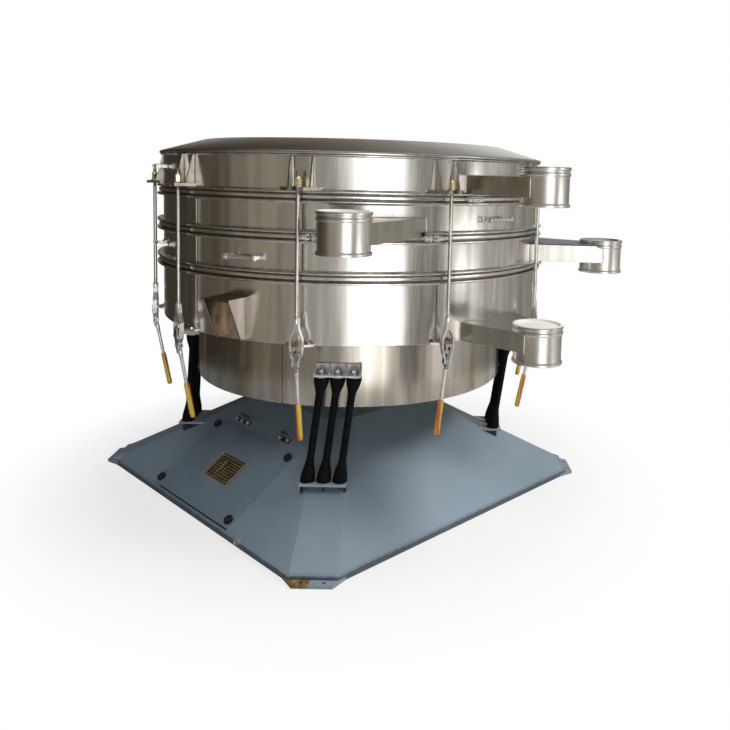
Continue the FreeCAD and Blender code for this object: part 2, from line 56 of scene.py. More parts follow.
# %% Sizes shared with the CAD part
mm = 0.001
body_axis = Vector((-26.0, 76.0, 0.0))
body_r = 900.0
levels = {"bottom": 791.0, "lower": 1056.0, "upper": 1214.0, "top": 1367.0}
body_top = 1527.0
drum_r = 747.0
drum_floor = 500.0
flange_r = 928.0
clamp_angles = [1.0 + 36.0 * k for k in range(10)]
leg_angles = (45.0, 135.0, 225.0, 315.0)
print("body", 2 * body_r, "mm across,", len(clamp_angles), "clamps,", len(leg_angles), "groups of rods")

# %% [markdown]
# Nearly every piece sits somewhere round the body. Two helpers give its place from an angle, which
# starts at the hatch side, -Y, and grows towards +X: a point for seams and arcs, and a whole frame
# for pieces that are drawn once and then turned to their place.

# %% Places round the body
def polar(radius, angle, z=0.0):
    """Point at an angle round the axis of the sieve body."""
    turn = math.radians(angle)
    return body_axis + Vector((radius * math.sin(turn), -radius * math.cos(turn), z))


def facing(angle, centre=body_axis):
    """Frame whose X axis points outward at an angle and whose Z axis is up."""
    return Matrix.Translation(centre) @ Matrix.Rotation(math.radians(angle - 90.0), 4, "Z")


print("first clamp at", [round(value) for value in polar(body_r, clamp_angles[0])[:2]])

# %% [markdown]
# Real edges are never sharp: sheet is rolled and bars are turned. An outline gets its corners
# replaced by short arcs before it becomes a mesh. A bevel modifier could do it afterwards, but here
# the arc also stays even on walls only four millimetres thick.

# %% Soft corners
on_the_axis = 1e-6
edge_share = 0.45


def rounded(points, radius, steps=3):
    """Outline with its corners replaced by short arcs, except on the axis."""
    out = []
    count = len(points)
    for k in range(count):
        here = Vector(points[k])
        back = Vector(points[k - 1]) - here
        ahead = Vector(points[(k + 1) % count]) - here
        if min(abs(here.x), back.length, ahead.length) < on_the_axis:
            out.append((here.x, here.y))
            continue
        reach = min(radius, edge_share * back.length, edge_share * ahead.length)
        start = here + back.normalized() * reach
        end = here + ahead.normalized() * reach
        for step in range(steps + 1):
            t = step / steps
            bent = start * (1 - t) ** 2 + here * 2 * t * (1 - t) + end * t ** 2
            out.append((bent.x, bent.y))
    return out


square = [(10, 0), (20, 0), (20, 10), (10, 10)]
print("points of a rounded square", len(rounded(square, 2.0)))

# %% [markdown]
# Every mesh starts as a part: a list of points and a list of faces. Most of this machine is turned,
# so the lathe matters most. It spins an outline of (radius, height) points about Z. A screw
# modifier does the same, but a function can also leave out faces, as at the mouths of the chutes.

# %% Turned parts
def lathe(profile, segments=64, skip=None):
    """Closed (radius, z) outline turned about Z; skip(angle, radius, z) leaves faces out."""
    verts, faces = [], []
    count = len(profile)
    for s in range(segments):
        turn = 2 * math.pi * s / segments
        for r, z in profile:
            verts.append(Vector((r * math.sin(turn), -r * math.cos(turn), z)))
    for s in range(segments):
        after = (s + 1) % segments
        middle = 360.0 * (s + 0.5) / segments
        for k in range(count):
            k2 = (k + 1) % count
            (r1, z1), (r2, z2) = profile[k], profile[k2]
            if r1 < on_the_axis and r2 < on_the_axis:
                continue
            if skip and skip(middle, (r1 + r2) / 2, (z1 + z2) / 2):
                continue
            faces.append((s * count + k, after * count + k, after * count + k2, s * count + k2))
    return verts, faces


print("faces of a turned ring", len(lathe(square)[1]))

# %% [markdown]
# Plates, gussets and blocks are flat outlines with a thickness. One function makes them along Z,
# and two others lay the outline in the plane that shows best: seen from the side of a clamp, with
# the radius as its first axis, or seen from outside, looking at the body.

# %% Flat parts
def prism(outline, low, high):
    """Flat outline, (x, y), made solid between two heights."""
    count = len(outline)
    verts = [Vector((x, y, z)) for z in (low, high) for x, y in outline]
    faces = [tuple(range(count))[::-1], tuple(range(count, 2 * count))]
    faces += [(k, (k + 1) % count, count + (k + 1) % count, count + k) for k in range(count)]
    return verts, faces


def block(x0, x1, y0, y1, z0, z1):
    return prism([(x0, y0), (x1, y0), (x1, y1), (x0, y1)], z0, z1)


def side_prism(outline, thickness, middle=0.0):
    """Outline in the radial plane, (radius, z), with a thickness across it."""
    verts, faces = prism(outline, middle - thickness / 2, middle + thickness / 2)
    return [Vector((v.x, v.z, v.y)) for v in verts], faces


def cross_prism(outline, x0, x1):
    """Outline across the radial plane, (y, z), between two radii."""
    verts, faces = prism(outline, x0, x1)
    return [Vector((v.z, v.x, v.y)) for v in verts], faces


print("faces of a block", len(block(0, 1, 0, 1, 0, 1)[1]))

# %% [markdown]
# Round bars and weld beads follow a path. A curve with a bevel could draw them, but a bead isn't
# even: its thickness wavers from point to point, so each ring of points gets its own size.

# %% Bars and beads
def sweep(path, radius, sides=10, ripple=0.0, flat=1.0):
    """Round bar along a path; ripple makes it uneven like a weld bead."""
    verts, faces = [], []
    side = None
    for k, point in enumerate(path):
        ahead = (path[min(k + 1, len(path) - 1)] - path[max(k - 1, 0)]).normalized()
        if side is None:
            side = ahead.orthogonal().normalized()
        side = (side - ahead * side.dot(ahead)).normalized()
        other = ahead.cross(side)
        size = radius * (1 + ripple * random.uniform(-1, 1))
        for s in range(sides):
            turn = 2 * math.pi * s / sides
            verts.append(point + side * math.cos(turn) * size + other * math.sin(turn) * size * flat)
    for k in range(len(path) - 1):
        for s in range(sides):
            s2 = (s + 1) % sides
            a, b = k * sides, (k + 1) * sides
            faces.append((a + s, a + s2, b + s2, b + s))
    faces.append(tuple(range(sides))[::-1])
    faces.append(tuple(range((len(path) - 1) * sides, len(path) * sides)))
    return verts, faces


def line(start, end, step=4.0):
    """Points on a straight line, about a step apart."""
    count = max(2, int((end - start).length / step))
    return [start.lerp(end, k / count) for k in range(count + 1)]


print("points on a 100 mm line", len(line(Vector((0, 0, 0)), Vector((100, 0, 0)))))

# %% [markdown]
# Parts are drawn where it is easiest, at the origin and standing up Z, and moved afterwards. A
# piece then reads as a short list of parts. Joining keeps them one mesh, which is lighter than
# hundreds of small objects.

# %% Place and join parts
def placed(part, matrix):
    return [matrix @ v for v in part[0]], part[1]


def along(part, start, direction):
    """Places a part made up the Z axis so that Z runs in another direction."""
    turn = Vector(direction).to_track_quat("Z", "Y").to_matrix().to_4x4()
    return placed(part, Matrix.Translation(Vector(start)) @ turn)


def joined(parts):
    verts, faces = [], []
    for some_verts, some_faces in parts:
        shift = len(verts)
        verts += some_verts
        faces += [tuple(i + shift for i in face) for face in some_faces]
    return verts, faces


cube = block(0, 1, 0, 1, 0, 1)
print("faces of two cubes in one part", len(joined([cube, placed(cube, Matrix.Translation((3, 0, 0)))])[1]))

# %% [markdown]
# The rods, levers and plates are held by threaded ends and hexagon nuts. A thread is a helix on the
# real part. At this size rings look the same and are far easier, so it is a fine saw profile on the
# lathe.

# %% Threads
def thread_profile(radius, low, high, pitch):
    points = []
    z = low
    while z < high:
        points += [(radius, z), (radius - 0.35 * pitch, z + pitch / 2)]
        z += pitch
    return points + [(radius, high)]


def thread(radius, low, high, pitch=2.0, segments=24):
    return lathe([(0, low)] + thread_profile(radius, low, high, pitch) + [(0, high)], segments)


print("faces of a short thread", len(thread(8.0, 0.0, 20.0)[1]))

# %% [markdown]
# A nut is a lathe with six segments, which gives the hexagon and its chamfer at once. The size of
# a bolt follows from the width across its flats, as in a fastener table, so one function draws all.

# %% Nuts, bolts and round heads
def hexagon_nut(across, height):
    edge = across / math.sqrt(3)
    chamfer = 0.12 * across
    return lathe([(0, 0), (edge - chamfer / 2, 0), (edge, chamfer / 3), (edge, height - chamfer / 3),
                  (edge - chamfer / 2, height), (0, height)], 6)


def bolt(across, height=None, end=4.0):
    """Hexagon head on a washer, standing up the Z axis."""
    height = height or 0.6 * across
    washer_r, washer_height = 0.72 * across, 0.12 * across
    washer = lathe(rounded([(0, 0), (washer_r, 0), (washer_r, washer_height), (0, washer_height)], 0.5), 24)
    head = placed(hexagon_nut(across, height), Matrix.Translation((0, 0, washer_height)))
    tip = thread(0.3 * across, height, height + washer_height + end)
    return joined([washer, head, tip])


def round_head(radius, height):
    return lathe(rounded([(0, 0), (radius, 0), (0.8 * radius, 0.7 * height), (0, height)],
                         0.4 * radius), 20)


print("faces of a bolt", len(bolt(22.0)[1]), "and of a round head", len(round_head(6.0, 4.5)[1]))

# %% [markdown]
# Cut steel edges are broken before they leave the workshop, and the thin line of light on them is
# what makes metal look real. A bevel modifier on angles does it without touching the mesh.

# %% Broken edges
def add_bevel(obj, width, steps=2):
    modifier = obj.modifiers.new("bevel", "BEVEL")
    modifier.width = width * mm
    modifier.segments = steps
    modifier.limit_method = "ANGLE"
    modifier.angle_limit = math.radians(35)
    modifier.harden_normals = True


def finish_cad(node, material, bevel):
    """Shows a CAD node with broken edges and its own material."""
    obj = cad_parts[node]
    obj.data.materials.clear()
    obj.data.materials.append(material)
    obj.data.shade_smooth()
    obj.data.set_sharp_from_angle(angle=math.radians(30))
    add_bevel(obj, bevel)
    print(node, "finished with a bevel of", bevel, "mm")


# %% [markdown]
# One function turns a part into an object: it scales to metres, closes seams, smooths shallow edges, gives
# the material, and lets the piece ride on its body.
# Doing it in one place keeps every piece of the scene alike.

# %% Make a piece
weld_distance = 1e-6


def piece(name, part, material, body="machine", place=None, crease=35.0, bevel=0.0):
    mesh = bpy.data.meshes.new(name)
    mesh.from_pydata([v * mm for v in part[0]], [], part[1])
    work = bmesh.new()
    work.from_mesh(mesh)
    bmesh.ops.remove_doubles(work, verts=work.verts, dist=weld_distance)
    bmesh.ops.recalc_face_normals(work, faces=work.faces)
    work.to_mesh(mesh)
    work.free()
    mesh.materials.append(material)
    mesh.shade_smooth()
    mesh.set_sharp_from_angle(angle=math.radians(crease))
    obj = bpy.data.objects.new(name, mesh)
    bpy.context.collection.objects.link(obj)
    if place is not None:
        shift, turn, _ = place.decompose()
        obj.matrix_world = Matrix.Translation(shift * mm) @ turn.to_matrix().to_4x4()
    if bevel:
        add_bevel(obj, bevel)
    print(name, len(mesh.polygons), "faces")
    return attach(obj, body)


# %% [markdown]
# The materials are node trees, built in code so that each is a few lines. One helper adds a node
# and wires or sets its inputs, and another makes a colour ramp from a list of stops. They are tried
# out on a tree of their own, which is thrown away after the last helper.

# %% Shader nodes
def add_node(tree, kind, inputs=(), **settings):
    node = tree.nodes.new(kind)
    for key, value in settings.items():
        setattr(node, key, value)
    for key, value in dict(inputs).items():
        if isinstance(value, bpy.types.NodeSocket):
            tree.links.new(value, node.inputs[key])
        else:
            node.inputs[key].default_value = value
    return node


def ramp(tree, factor, stops):
    node = add_node(tree, "ShaderNodeValToRGB", {"Fac": factor})
    elements = node.color_ramp.elements
    while len(elements) < len(stops):
        elements.new(1.0)
    for element, (place, colour) in zip(elements, stops):
        element.position = place
        element.color = (*colour, 1.0)
    return node.outputs["Color"]


trial = bpy.data.node_groups.new("trial", "ShaderNodeTree")
ramp(trial, 0.5, [(0.0, (0, 0, 0)), (1.0, (1, 1, 1))])
print("nodes after a ramp", len(trial.nodes))

# %% [markdown]
# Real surfaces vary in patches, streaks and specks. All of them are noise here, because an image
# would show its edges and repeats: a stretched noise gives streaks, a fine one specks. A range then
# turns it into any amount, and a blend lays one colour over another by it.

# %% Noise, ranges and blends
def noise(tree, scale, stretch=(1, 1, 1), detail=3.0, rough=0.5):
    """Noise over the place in the part's own frame, in metres."""
    where = add_node(tree, "ShaderNodeTexCoord")
    scaled = add_node(tree, "ShaderNodeMapping", {"Vector": where.outputs["Object"], "Scale": stretch})
    node = add_node(tree, "ShaderNodeTexNoise", {"Vector": scaled.outputs["Vector"], "Scale": scale,
                                                 "Detail": detail, "Roughness": rough})
    return node.outputs["Fac"]


def spread(tree, factor, low, high, from_low=0.3, from_high=0.7):
    node = add_node(tree, "ShaderNodeMapRange", {"Value": factor, "From Min": from_low,
                                                 "From Max": from_high, "To Min": low, "To Max": high})
    return node.outputs["Result"]


def blended(tree, factor, first, second, mode="MIX"):
    node = add_node(tree, "ShaderNodeMix", {0: factor, 6: first, 7: second}, data_type="RGBA",
                    blend_type=mode)
    return node.outputs[2]


blended(trial, spread(trial, noise(trial, 30.0), 0.0, 1.0), (0, 0, 0, 1), (1, 1, 1, 1))
print("nodes after a blend by noise", len(trial.nodes))

# %% [markdown]
# Dents and grain too small for the mesh are bumps. They are stacked from coarse to fine, each on
# the normal of the one before, with its depth in millimetres so that it can be compared with a
# real surface.

# %% Relief and the shader
def bumps(tree, layers):
    """Adds bumps over each other from (height, distance in millimetres) pairs."""
    normal = None
    for height, distance in layers:
        inputs = {"Height": height, "Strength": 1.0, "Distance": distance * mm}
        if normal is not None:
            inputs["Normal"] = normal
        normal = add_node(tree, "ShaderNodeBump", inputs).outputs["Normal"]
    return normal


def new_material(name, metallic):
    material = bpy.data.materials.new(name)
    material.use_nodes = True
    tree = material.node_tree
    surface = tree.nodes["Principled BSDF"]
    surface.inputs["Metallic"].default_value = metallic
    return material, tree, surface


def connect(tree, surface, colour, rough, normal):
    tree.links.new(colour, surface.inputs["Base Color"])
    tree.links.new(rough, surface.inputs["Roughness"])
    tree.links.new(normal, surface.inputs["Normal"])


bumps(trial, [(noise(trial, 7.0), 0.5), (noise(trial, 90.0), 0.01)])
print("nodes after two bumps", len(trial.nodes))
bpy.data.node_groups.remove(trial)

# %% [markdown]
# The body is rolled from brushed stainless sheet. Noise stretched along Z gives upright streaks on
# any wall. The streaks vary the colour, the roughness and, through a bump, the way the sheet bends
# its reflections; slow waves and dull bars keep the reflections from looking drawn with a ruler.
# The lid is brushed the same every way, so its noise isn't stretched.

# %% Sheet steel
def steel(name, dark, light, rough, wave, stain=0.25, along_z=0.06, bar_tone=0.74):
    """Sheet steel; wave is the depth of its slow bends in mm, bar_tone the tone of its dull bars."""
    material, tree, surface = new_material(name, 1.0)
    streaks = noise(tree, 46.0, (1, 1, along_z), detail=3.0)
    fine = noise(tree, 260.0, (1, 1, 0.03), detail=2.0)
    patches = noise(tree, 3.2, (1, 1, 1.6), detail=5.0, rough=0.6)
    base = ramp(tree, streaks, [(0.25, dark), (0.75, light)])
    marks = ramp(tree, patches, [(0.52, (0, 0, 0)), (0.8, (stain, stain, stain))])
    brown = blended(tree, marks, base, (0.34, 0.25, 0.15, 1))
    slow = noise(tree, 7.0, (1, 1, 0.12), detail=2.0)
    bars = noise(tree, 19.0, (1, 1, 0.08), detail=1.0)
    bar_colour = (bar_tone, bar_tone - 0.01, bar_tone - 0.03)
    dull = ramp(tree, bars, [(0.38, bar_colour), (0.60, (1.0, 1.0, 1.0))])
    barred = blended(tree, 1.0, brown, dull, "MULTIPLY")
    normal = bumps(tree, [(slow, wave), (bars, 0.45 * wave), (streaks, 0.012), (fine, 0.003)])
    roughness = spread(tree, fine, rough - 0.03, rough + 0.05)
    connect(tree, surface, barred, roughness, normal)
    return material


wall_steel = steel("wall_steel", (0.73, 0.712, 0.68), (0.80, 0.79, 0.772), rough=0.21, wave=1.0)
print("nodes in the wall steel", len(wall_steel.node_tree.nodes))

# %% [markdown]
# Zinc on bolts sets in small crystals, and a weld bead has the same broken look. Voronoi cells give
# the crystals, and a noise over them dulls some more than others.

# %% Zinc and welds
def plated(name, dark, light, rough):
    """Cast or plated metal with a crystal pattern."""
    material, tree, surface = new_material(name, 1.0)
    where = add_node(tree, "ShaderNodeTexCoord")
    cells = add_node(tree, "ShaderNodeTexVoronoi", {"Vector": where.outputs["Object"], "Scale": 170.0})
    grain = noise(tree, 120.0, detail=4.0)
    base = ramp(tree, cells.outputs["Distance"], [(0.0, light), (0.75, dark)])
    worn = blended(tree, spread(tree, grain, 0.0, 0.5), base, (*dark, 1))
    connect(tree, surface, worn, spread(tree, grain, rough - 0.06, rough + 0.12),
            bumps(tree, [(grain, 0.12), (cells.outputs["Distance"], 0.05)]))
    return material


zinc = plated("zinc", (0.50, 0.51, 0.52), (0.88, 0.88, 0.88), rough=0.24)
print("nodes in the zinc", len(zinc.node_tree.nodes))

# %% [markdown]
# The base, its pads and the hatch are brushed with matt grey-blue enamel. The tone is cloudy, dust
# lies on it and small dark specks show through. A fine bump is the skin that paint dries to.

# %% Paint
def paint(name, dark, light):
    """Matt enamel over steel: cloudy tone, dust, dark specks and fine orange peel."""
    material, tree, surface = new_material(name, 0.0)
    clouds = noise(tree, 1.7, detail=5.0, rough=0.55)
    dust = noise(tree, 14.0, detail=8.0, rough=0.7)
    speck = noise(tree, 95.0, detail=3.0)
    base = ramp(tree, clouds, [(0.33, dark), (0.67, light)])
    dusting = spread(tree, dust, 0.0, 0.16, from_low=0.45, from_high=0.75)
    dusty = blended(tree, dusting, base, (0.42, 0.47, 0.52, 1))
    spots = ramp(tree, speck, [(0.70, (0, 0, 0)), (0.76, (0.6, 0.6, 0.6))])
    spotted = blended(tree, spots, dusty, (0.16, 0.16, 0.16, 1))
    peel = noise(tree, 420.0, detail=1.0)
    surface.inputs["Specular IOR Level"].default_value = 0.22
    connect(tree, surface, spotted, spread(tree, dust, 0.42, 0.62),
            bumps(tree, [(clouds, 2.0), (peel, 0.03), (dust, 0.12)]))
    return material


base_paint = paint("base_paint", (0.265, 0.345, 0.415), (0.315, 0.395, 0.470))
print("nodes in the paint", len(base_paint.node_tree.nodes))

# %% [markdown]
# Wear isn't spread evenly: paint is scraped at corners, and rust starts where it has come off. A
# mask is therefore 1 near a chosen point and fades with a ragged border. Painting it by hand would
# need an image, while a distance and a noise do it in the shader.

# %% Wear near a point
fade = 0.006


def near_point(tree, point, reach, border):
    """Mask that is 1 near a point of the part and fades, with a ragged border, beyond a reach."""
    where = add_node(tree, "ShaderNodeTexCoord")
    away = add_node(tree, "ShaderNodeVectorMath", {0: where.outputs["Object"], 1: point},
                    operation="DISTANCE")
    ragged = spread(tree, noise(tree, 26.0, detail=6.0, rough=0.65), -border, border)
    total = add_node(tree, "ShaderNodeMath", {0: away.outputs["Value"], 1: ragged}, operation="ADD")
    return spread(tree, total.outputs[0], 1.0, 0.0, reach - fade, reach + fade)


def paint_over(material, mask, colour):
    """Lays a second colour over a material where its mask is 1."""
    tree = material.node_tree
    socket = tree.nodes["Principled BSDF"].inputs["Base Color"]
    tree.links.new(blended(tree, mask, socket.links[0].from_socket, colour), socket)


def heights(tree):
    """Height of each shaded place in the part's own frame, in metres."""
    where = add_node(tree, "ShaderNodeTexCoord")
    return add_node(tree, "ShaderNodeSeparateXYZ", {"Vector": where.outputs["Object"]}).outputs["Z"]


print("a mask fades over", 2 * fade / mm, "mm")

# %% [markdown]
# Rubber, plastic, brass and turned bars need less. Two tones in soft clouds and a fine grain in the
# gloss keep them from looking flat. The rubber hardly shines, so its specular level is low.

# %% Plain finishes
def plain(name, dark, light, rough, metallic=0.0, scale=30.0, depth=0.1):
    """Simple uneven finish for rubber, plastic and brass."""
    material, tree, surface = new_material(name, metallic)
    cloud = noise(tree, scale, detail=5.0, rough=0.6)
    fine = noise(tree, 14 * scale, detail=2.0)
    connect(tree, surface, ramp(tree, cloud, [(0.3, dark), (0.7, light)]),
            spread(tree, fine, rough - 0.07, rough + 0.1), bumps(tree, [(cloud, depth), (fine, depth / 8)]))
    return material


bright_plate = plain("bright_plate", (0.68, 0.68, 0.67), (0.88, 0.88, 0.87), rough=0.30, metallic=0.80,
                     scale=26.0, depth=0.06)
rubber = plain("rubber", (0.004, 0.005, 0.006), (0.009, 0.010, 0.011), rough=0.6, scale=22.0, depth=0.25)
rubber.node_tree.nodes["Principled BSDF"].inputs["Specular IOR Level"].default_value = 0.08
print("materials so far", len(bpy.data.materials))

# %% [markdown]
# The grips are dipped in a clear yellow-orange plastic. Deep orange and yellow streaks wind round each grip:
# twice the angle round it plus its height, through a sine, gives the share of each. The deep orange is
# partly the plastic's own tone and partly a painted reflection in it.

# %% Grip material
def grip_material():
    material, tree, surface = new_material("grip_plastic", 0.0)
    where = add_node(tree, "ShaderNodeTexCoord")
    parts = add_node(tree, "ShaderNodeSeparateXYZ", {"Vector": where.outputs["Object"]})
    cloud = noise(tree, 34.0, (1, 1, 0.25), detail=3.0)
    wobble = spread(tree, cloud, -0.55, 0.65)
    turn = add_node(tree, "ShaderNodeMath", {0: parts.outputs["Y"], 1: parts.outputs["X"]},
                    operation="ARCTAN2")
    rise = add_node(tree, "ShaderNodeMath", {0: parts.outputs["Z"], 1: 13.0, 2: 2.4},
                    operation="MULTIPLY_ADD")
    twice = add_node(tree, "ShaderNodeMath", {0: turn.outputs[0], 1: 2.0, 2: rise.outputs[0]},
                     operation="MULTIPLY_ADD")
    wave = add_node(tree, "ShaderNodeMath", {0: twice.outputs[0]}, operation="SINE")
    across = add_node(tree, "ShaderNodeMath", {0: wave.outputs[0], 1: wobble}, operation="ADD")
    share = spread(tree, across.outputs["Value"], 0.0, 1.0, -1.0, 1.0)
    # The orange stops are partly the plastic's tone and partly a painted reflection.
    colour = ramp(tree, share, [(0.0, (0.80, 0.13, 0.01)), (0.26, (0.98, 0.28, 0.01)),
                                (0.40, (1.0, 0.55, 0.02)), (0.7, (1.0, 0.76, 0.06))])
    connect(tree, surface, colour, spread(tree, cloud, 0.18, 0.3), bumps(tree, [(cloud, 0.3)]))
    surface.inputs["Coat Weight"].default_value = 0.5
    surface.inputs["Subsurface Weight"].default_value = 0.15
    surface.inputs["Subsurface Scale"].default_value = 0.004
    return material


grip_plastic = grip_material()
print("nodes in the grip plastic", len(grip_plastic.node_tree.nodes))

# %% [markdown]
# One anchor pad at the front has lost its paint and rusted. The rust is three browns in a fine
# noise, laid over the paint within a reach of the pad's corner, so the other pads stay clean.

# %% Rust on a pad
pad_paint = paint("pad_paint", (0.25, 0.32, 0.38), (0.34, 0.41, 0.47))
pad_tree = pad_paint.node_tree
rust = ramp(pad_tree, noise(pad_tree, 60.0, detail=7.0, rough=0.7),
            [(0.35, (0.13, 0.075, 0.03)), (0.62, (0.33, 0.23, 0.09)), (0.72, (0.62, 0.58, 0.40))])
rusty_corner, rust_reach = (0.725, -0.845, 0.012), 0.095
paint_over(pad_paint, near_point(pad_tree, rusty_corner, rust_reach, border=0.03), rust)
print("rust reaches", rust_reach, "m from the pad's corner")

# %% [markdown]
# The darker tone of the upright lip of the base stops in a ragged line just under its fold.
# Height alone would end in a straight line, so a little noise is added to it first. Small scrapes
# of bare steel are laid at three corners with the same mask as the rust.

# %% Dark lip and scrapes on the base
base_tree = base_paint.node_tree
ragged_edge = spread(base_tree, noise(base_tree, 30.0, detail=6.0, rough=0.7), -0.004, 0.004)
lip_height = add_node(base_tree, "ShaderNodeMath", {0: heights(base_tree), 1: ragged_edge}, operation="ADD")
dark_lip_ends = (0.019, 0.027)
# The lip is laid over with a near-black blue-grey below its fold.
dark_lip_share = spread(base_tree, lip_height.outputs[0], 0.72, 0.0, *dark_lip_ends)
paint_over(base_paint, dark_lip_share, (0.030, 0.042, 0.055, 1))
scraped = ramp(base_tree, noise(base_tree, 75.0, detail=6.0, rough=0.7),
               [(0.40, (0.12, 0.13, 0.14)), (0.52, (0.62, 0.63, 0.63))])
scrapes = (((-0.735, -0.845, 0.028), 0.040), ((-0.86, -0.72, 0.028), 0.040),
           ((0.385, -0.845, 0.027), 0.016))
for corner, reach in scrapes:
    paint_over(base_paint, near_point(base_tree, corner, reach, border=0.03), scraped)
print("scrapes", len(scrapes))

# %% [markdown]
# The base is folded from thick sheet. Its CAD shape is already right, so it only gets rounded
# folds, and the pads and the hatch cover get finer ones. A second mesh would only repeat them.

# %% Base, pads and hatch cover
# The hatch enamel is the base enamel a little darker: painted shade from the drum that hangs over the hatch.
shaded_hatch_paint = paint("shaded_hatch_paint", (0.225, 0.295, 0.360), (0.265, 0.338, 0.405))
finish_cad("base_housing", base_paint, 5.0)
finish_cad("corner_pads", pad_paint, 2.0)
finish_cad("hatch_cover", shaded_hatch_paint, 1.2)

# %% [markdown]
# The slopes are welded to the lip round the foot of the base, and the bead is painted over. Eight
# sweeps with a wavering size follow the outline, which is a rectangle with cut corners.

# %% Seams of the base
base_half = Vector((860.0, 845.0, 0.0))
base_lip, base_ledge, base_facet = 28.0, 8.0, 125.0
half_x, half_y = base_half.x - base_ledge, base_half.y - base_ledge
foot_corners = [Vector((x, y, base_lip))
                for x, y in ((half_x - base_facet, -half_y), (half_x, -half_y + base_facet),
                             (half_x, half_y - base_facet), (half_x - base_facet, half_y),
                             (-half_x + base_facet, half_y), (-half_x, half_y - base_facet),
                             (-half_x, -half_y + base_facet), (-half_x + base_facet, -half_y))]
seams = [sweep(line(foot_corners[k], foot_corners[k - 1], 9.0), 2.6, sides=6, ripple=0.25)
         for k in range(len(foot_corners))]
piece("base_seams", joined(seams), base_paint)
print("base seams", len(seams))

# %% [markdown]
# The hatch lies on the -Y slope and four knobs hold it. A frame on that slope, X along it and Y up
# it, turns every place there into two plain numbers. A knob is a hexagon on a flange with a round
# head. A narrow slot runs along the foot of the hatch.

# %% Hatch knobs and slot
slope_run, slope_rise = 522.0, 333.0
slope_frame = (Matrix.Translation((0, base_ledge - base_half.y, base_lip))
               @ Matrix.Rotation(math.atan2(slope_rise, slope_run), 4, "X"))
knob_black = plain("knob_black", (0.010, 0.010, 0.011), (0.028, 0.028, 0.03), rough=0.35, scale=60.0)
hatch_centre, hatch_top = -14.0, 4.6
knob_reach, knob_ups = 288.0, (38.0, 378.0)
on_hatch = Matrix.Translation((0, 0, hatch_top))
knob_flange = lathe(rounded([(0, 0), (19, 0), (19, 2.4), (0, 2.4)], 1), 32)
knob = joined([placed(hexagon_nut(34.0, 13.0), on_hatch), placed(knob_flange, on_hatch),
               placed(round_head(9.0, 6.5), Matrix.Translation((0, 0, 17.0)))])
knobs = [placed(knob, Matrix.Translation((hatch_centre + side * knob_reach, up, 0)))
         for side in (-1, 1) for up in knob_ups]
knob_piece = piece("hatch_knob_set", joined(knobs), knob_black, place=slope_frame,
                   crease=25)
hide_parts("hatch_knobs")

slot = block(-269.0, 298.0, 1.5, 6.5, 0.5, hatch_top)
piece("hatch_slot", slot, knob_black, place=slope_frame)

# %% [markdown]
# Two bent bars above the hatch serve to lift the base, each over a dark strap with bolts. The bars
# are sweeps along six points with the feet turned in, and the straps are thin blocks.

# %% Lifting handles
band_steel = plain("band_steel", (0.10, 0.095, 0.085), (0.24, 0.23, 0.21), rough=0.42, metallic=1.0)
lift_handles = []
for left, right in ((-227.0, -132.0), (115.0, 184.0)):
    path = [Vector((left, 478, 1)), Vector((left + 4, 474, 14)), Vector((left + 12, 468, 18)),
            Vector((right - 12, 468, 18)), Vector((right - 4, 474, 14)), Vector((right, 478, 1))]
    lift_handles.append(sweep(path, 4.0))
piece("lift_handles", joined(lift_handles), band_steel, place=slope_frame)
lift_straps = [block(-242, -118, 436, 456, 0.3, 3.5), block(110, 198, 438, 458, 0.3, 3.5)]
piece("lift_straps", joined(lift_straps), knob_black, place=slope_frame, bevel=0.6)
lift_bolt = joined([bolt(15.0, 8.0, 0.0), placed(round_head(7.5, 5.0), Matrix.Translation((0, 0, 8)))])
lift_bolts = [placed(lift_bolt, Matrix.Translation((x, y, 3.5)))
              for x, y in ((-226, 445), (-180, 444), (-134, 446), (126, 448), (182, 450))]
piece("lift_bolts", joined(lift_bolts), bright_plate, place=slope_frame, crease=25)
print("lifting handles", len(lift_handles), "with", len(lift_bolts), "bolts")

# %% [markdown]
# The plate stays blank: a raised rim, empty ruled lines and four rivets. Its ground is dark olive
# with brown cloud in it, and all that stands up from it is worn to bright brass. The lines are real
# geometry, since a bump would vanish at this distance.

# %% Plate
plate_metal = plain("plate_metal", (0.035, 0.030, 0.018), (0.17, 0.135, 0.075), rough=0.42,
                    metallic=0.4, scale=60.0, depth=0.3)
plate_x, plate_y, plate_w, plate_h = 0.0, 210.0, 198.0, 128.0
plate_top, line_level = 6.2, 6.3
x0, x1 = plate_x - plate_w / 2, plate_x + plate_w / 2
y0, y1 = plate_y - plate_h / 2, plate_y + plate_h / 2
plate_piece = piece("plate_blank", block(x0, x1, y0, y1, hatch_top, plate_top), plate_metal,
                    place=slope_frame, bevel=0.4)
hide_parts("name_plate")

# %% [markdown]
# The rim is two rectangles of raised line, and seven lines and an upright one rule the field. Each
# wavers a little, as worn metal does.

# %% Rules and rivets of the plate
brass = plain("brass", (0.78, 0.62, 0.28), (0.95, 0.86, 0.58), rough=0.26, metallic=0.9, scale=60.0)
raised_lines = []
for inset in (2.0, 12.0):
    rim = [(x0 + inset, y0 + inset), (x1 - inset, y0 + inset), (x1 - inset, y1 - inset),
           (x0 + inset, y1 - inset), (x0 + inset, y0 + inset)]
    sides_of_rim = zip(rim[:-1], rim[1:])
    raised_lines += [sweep(line(Vector((*start, line_level)), Vector((*end, line_level)), 20.0), 1.6,
                           sides=6, ripple=0.2) for start, end in sides_of_rim]
rule_levels = [y0 + 26 + 12.5 * k for k in range(7)]
rules = [(Vector((x0 + 22, y, line_level)), Vector((x1 - 22, y, line_level))) for y in rule_levels]
rules.append((Vector((x0 + 70, rule_levels[0], line_level)), Vector((x0 + 70, rule_levels[-1], line_level))))
raised_lines += [sweep(line(start, end, 20.0), 1.3, sides=6, ripple=0.3) for start, end in rules]
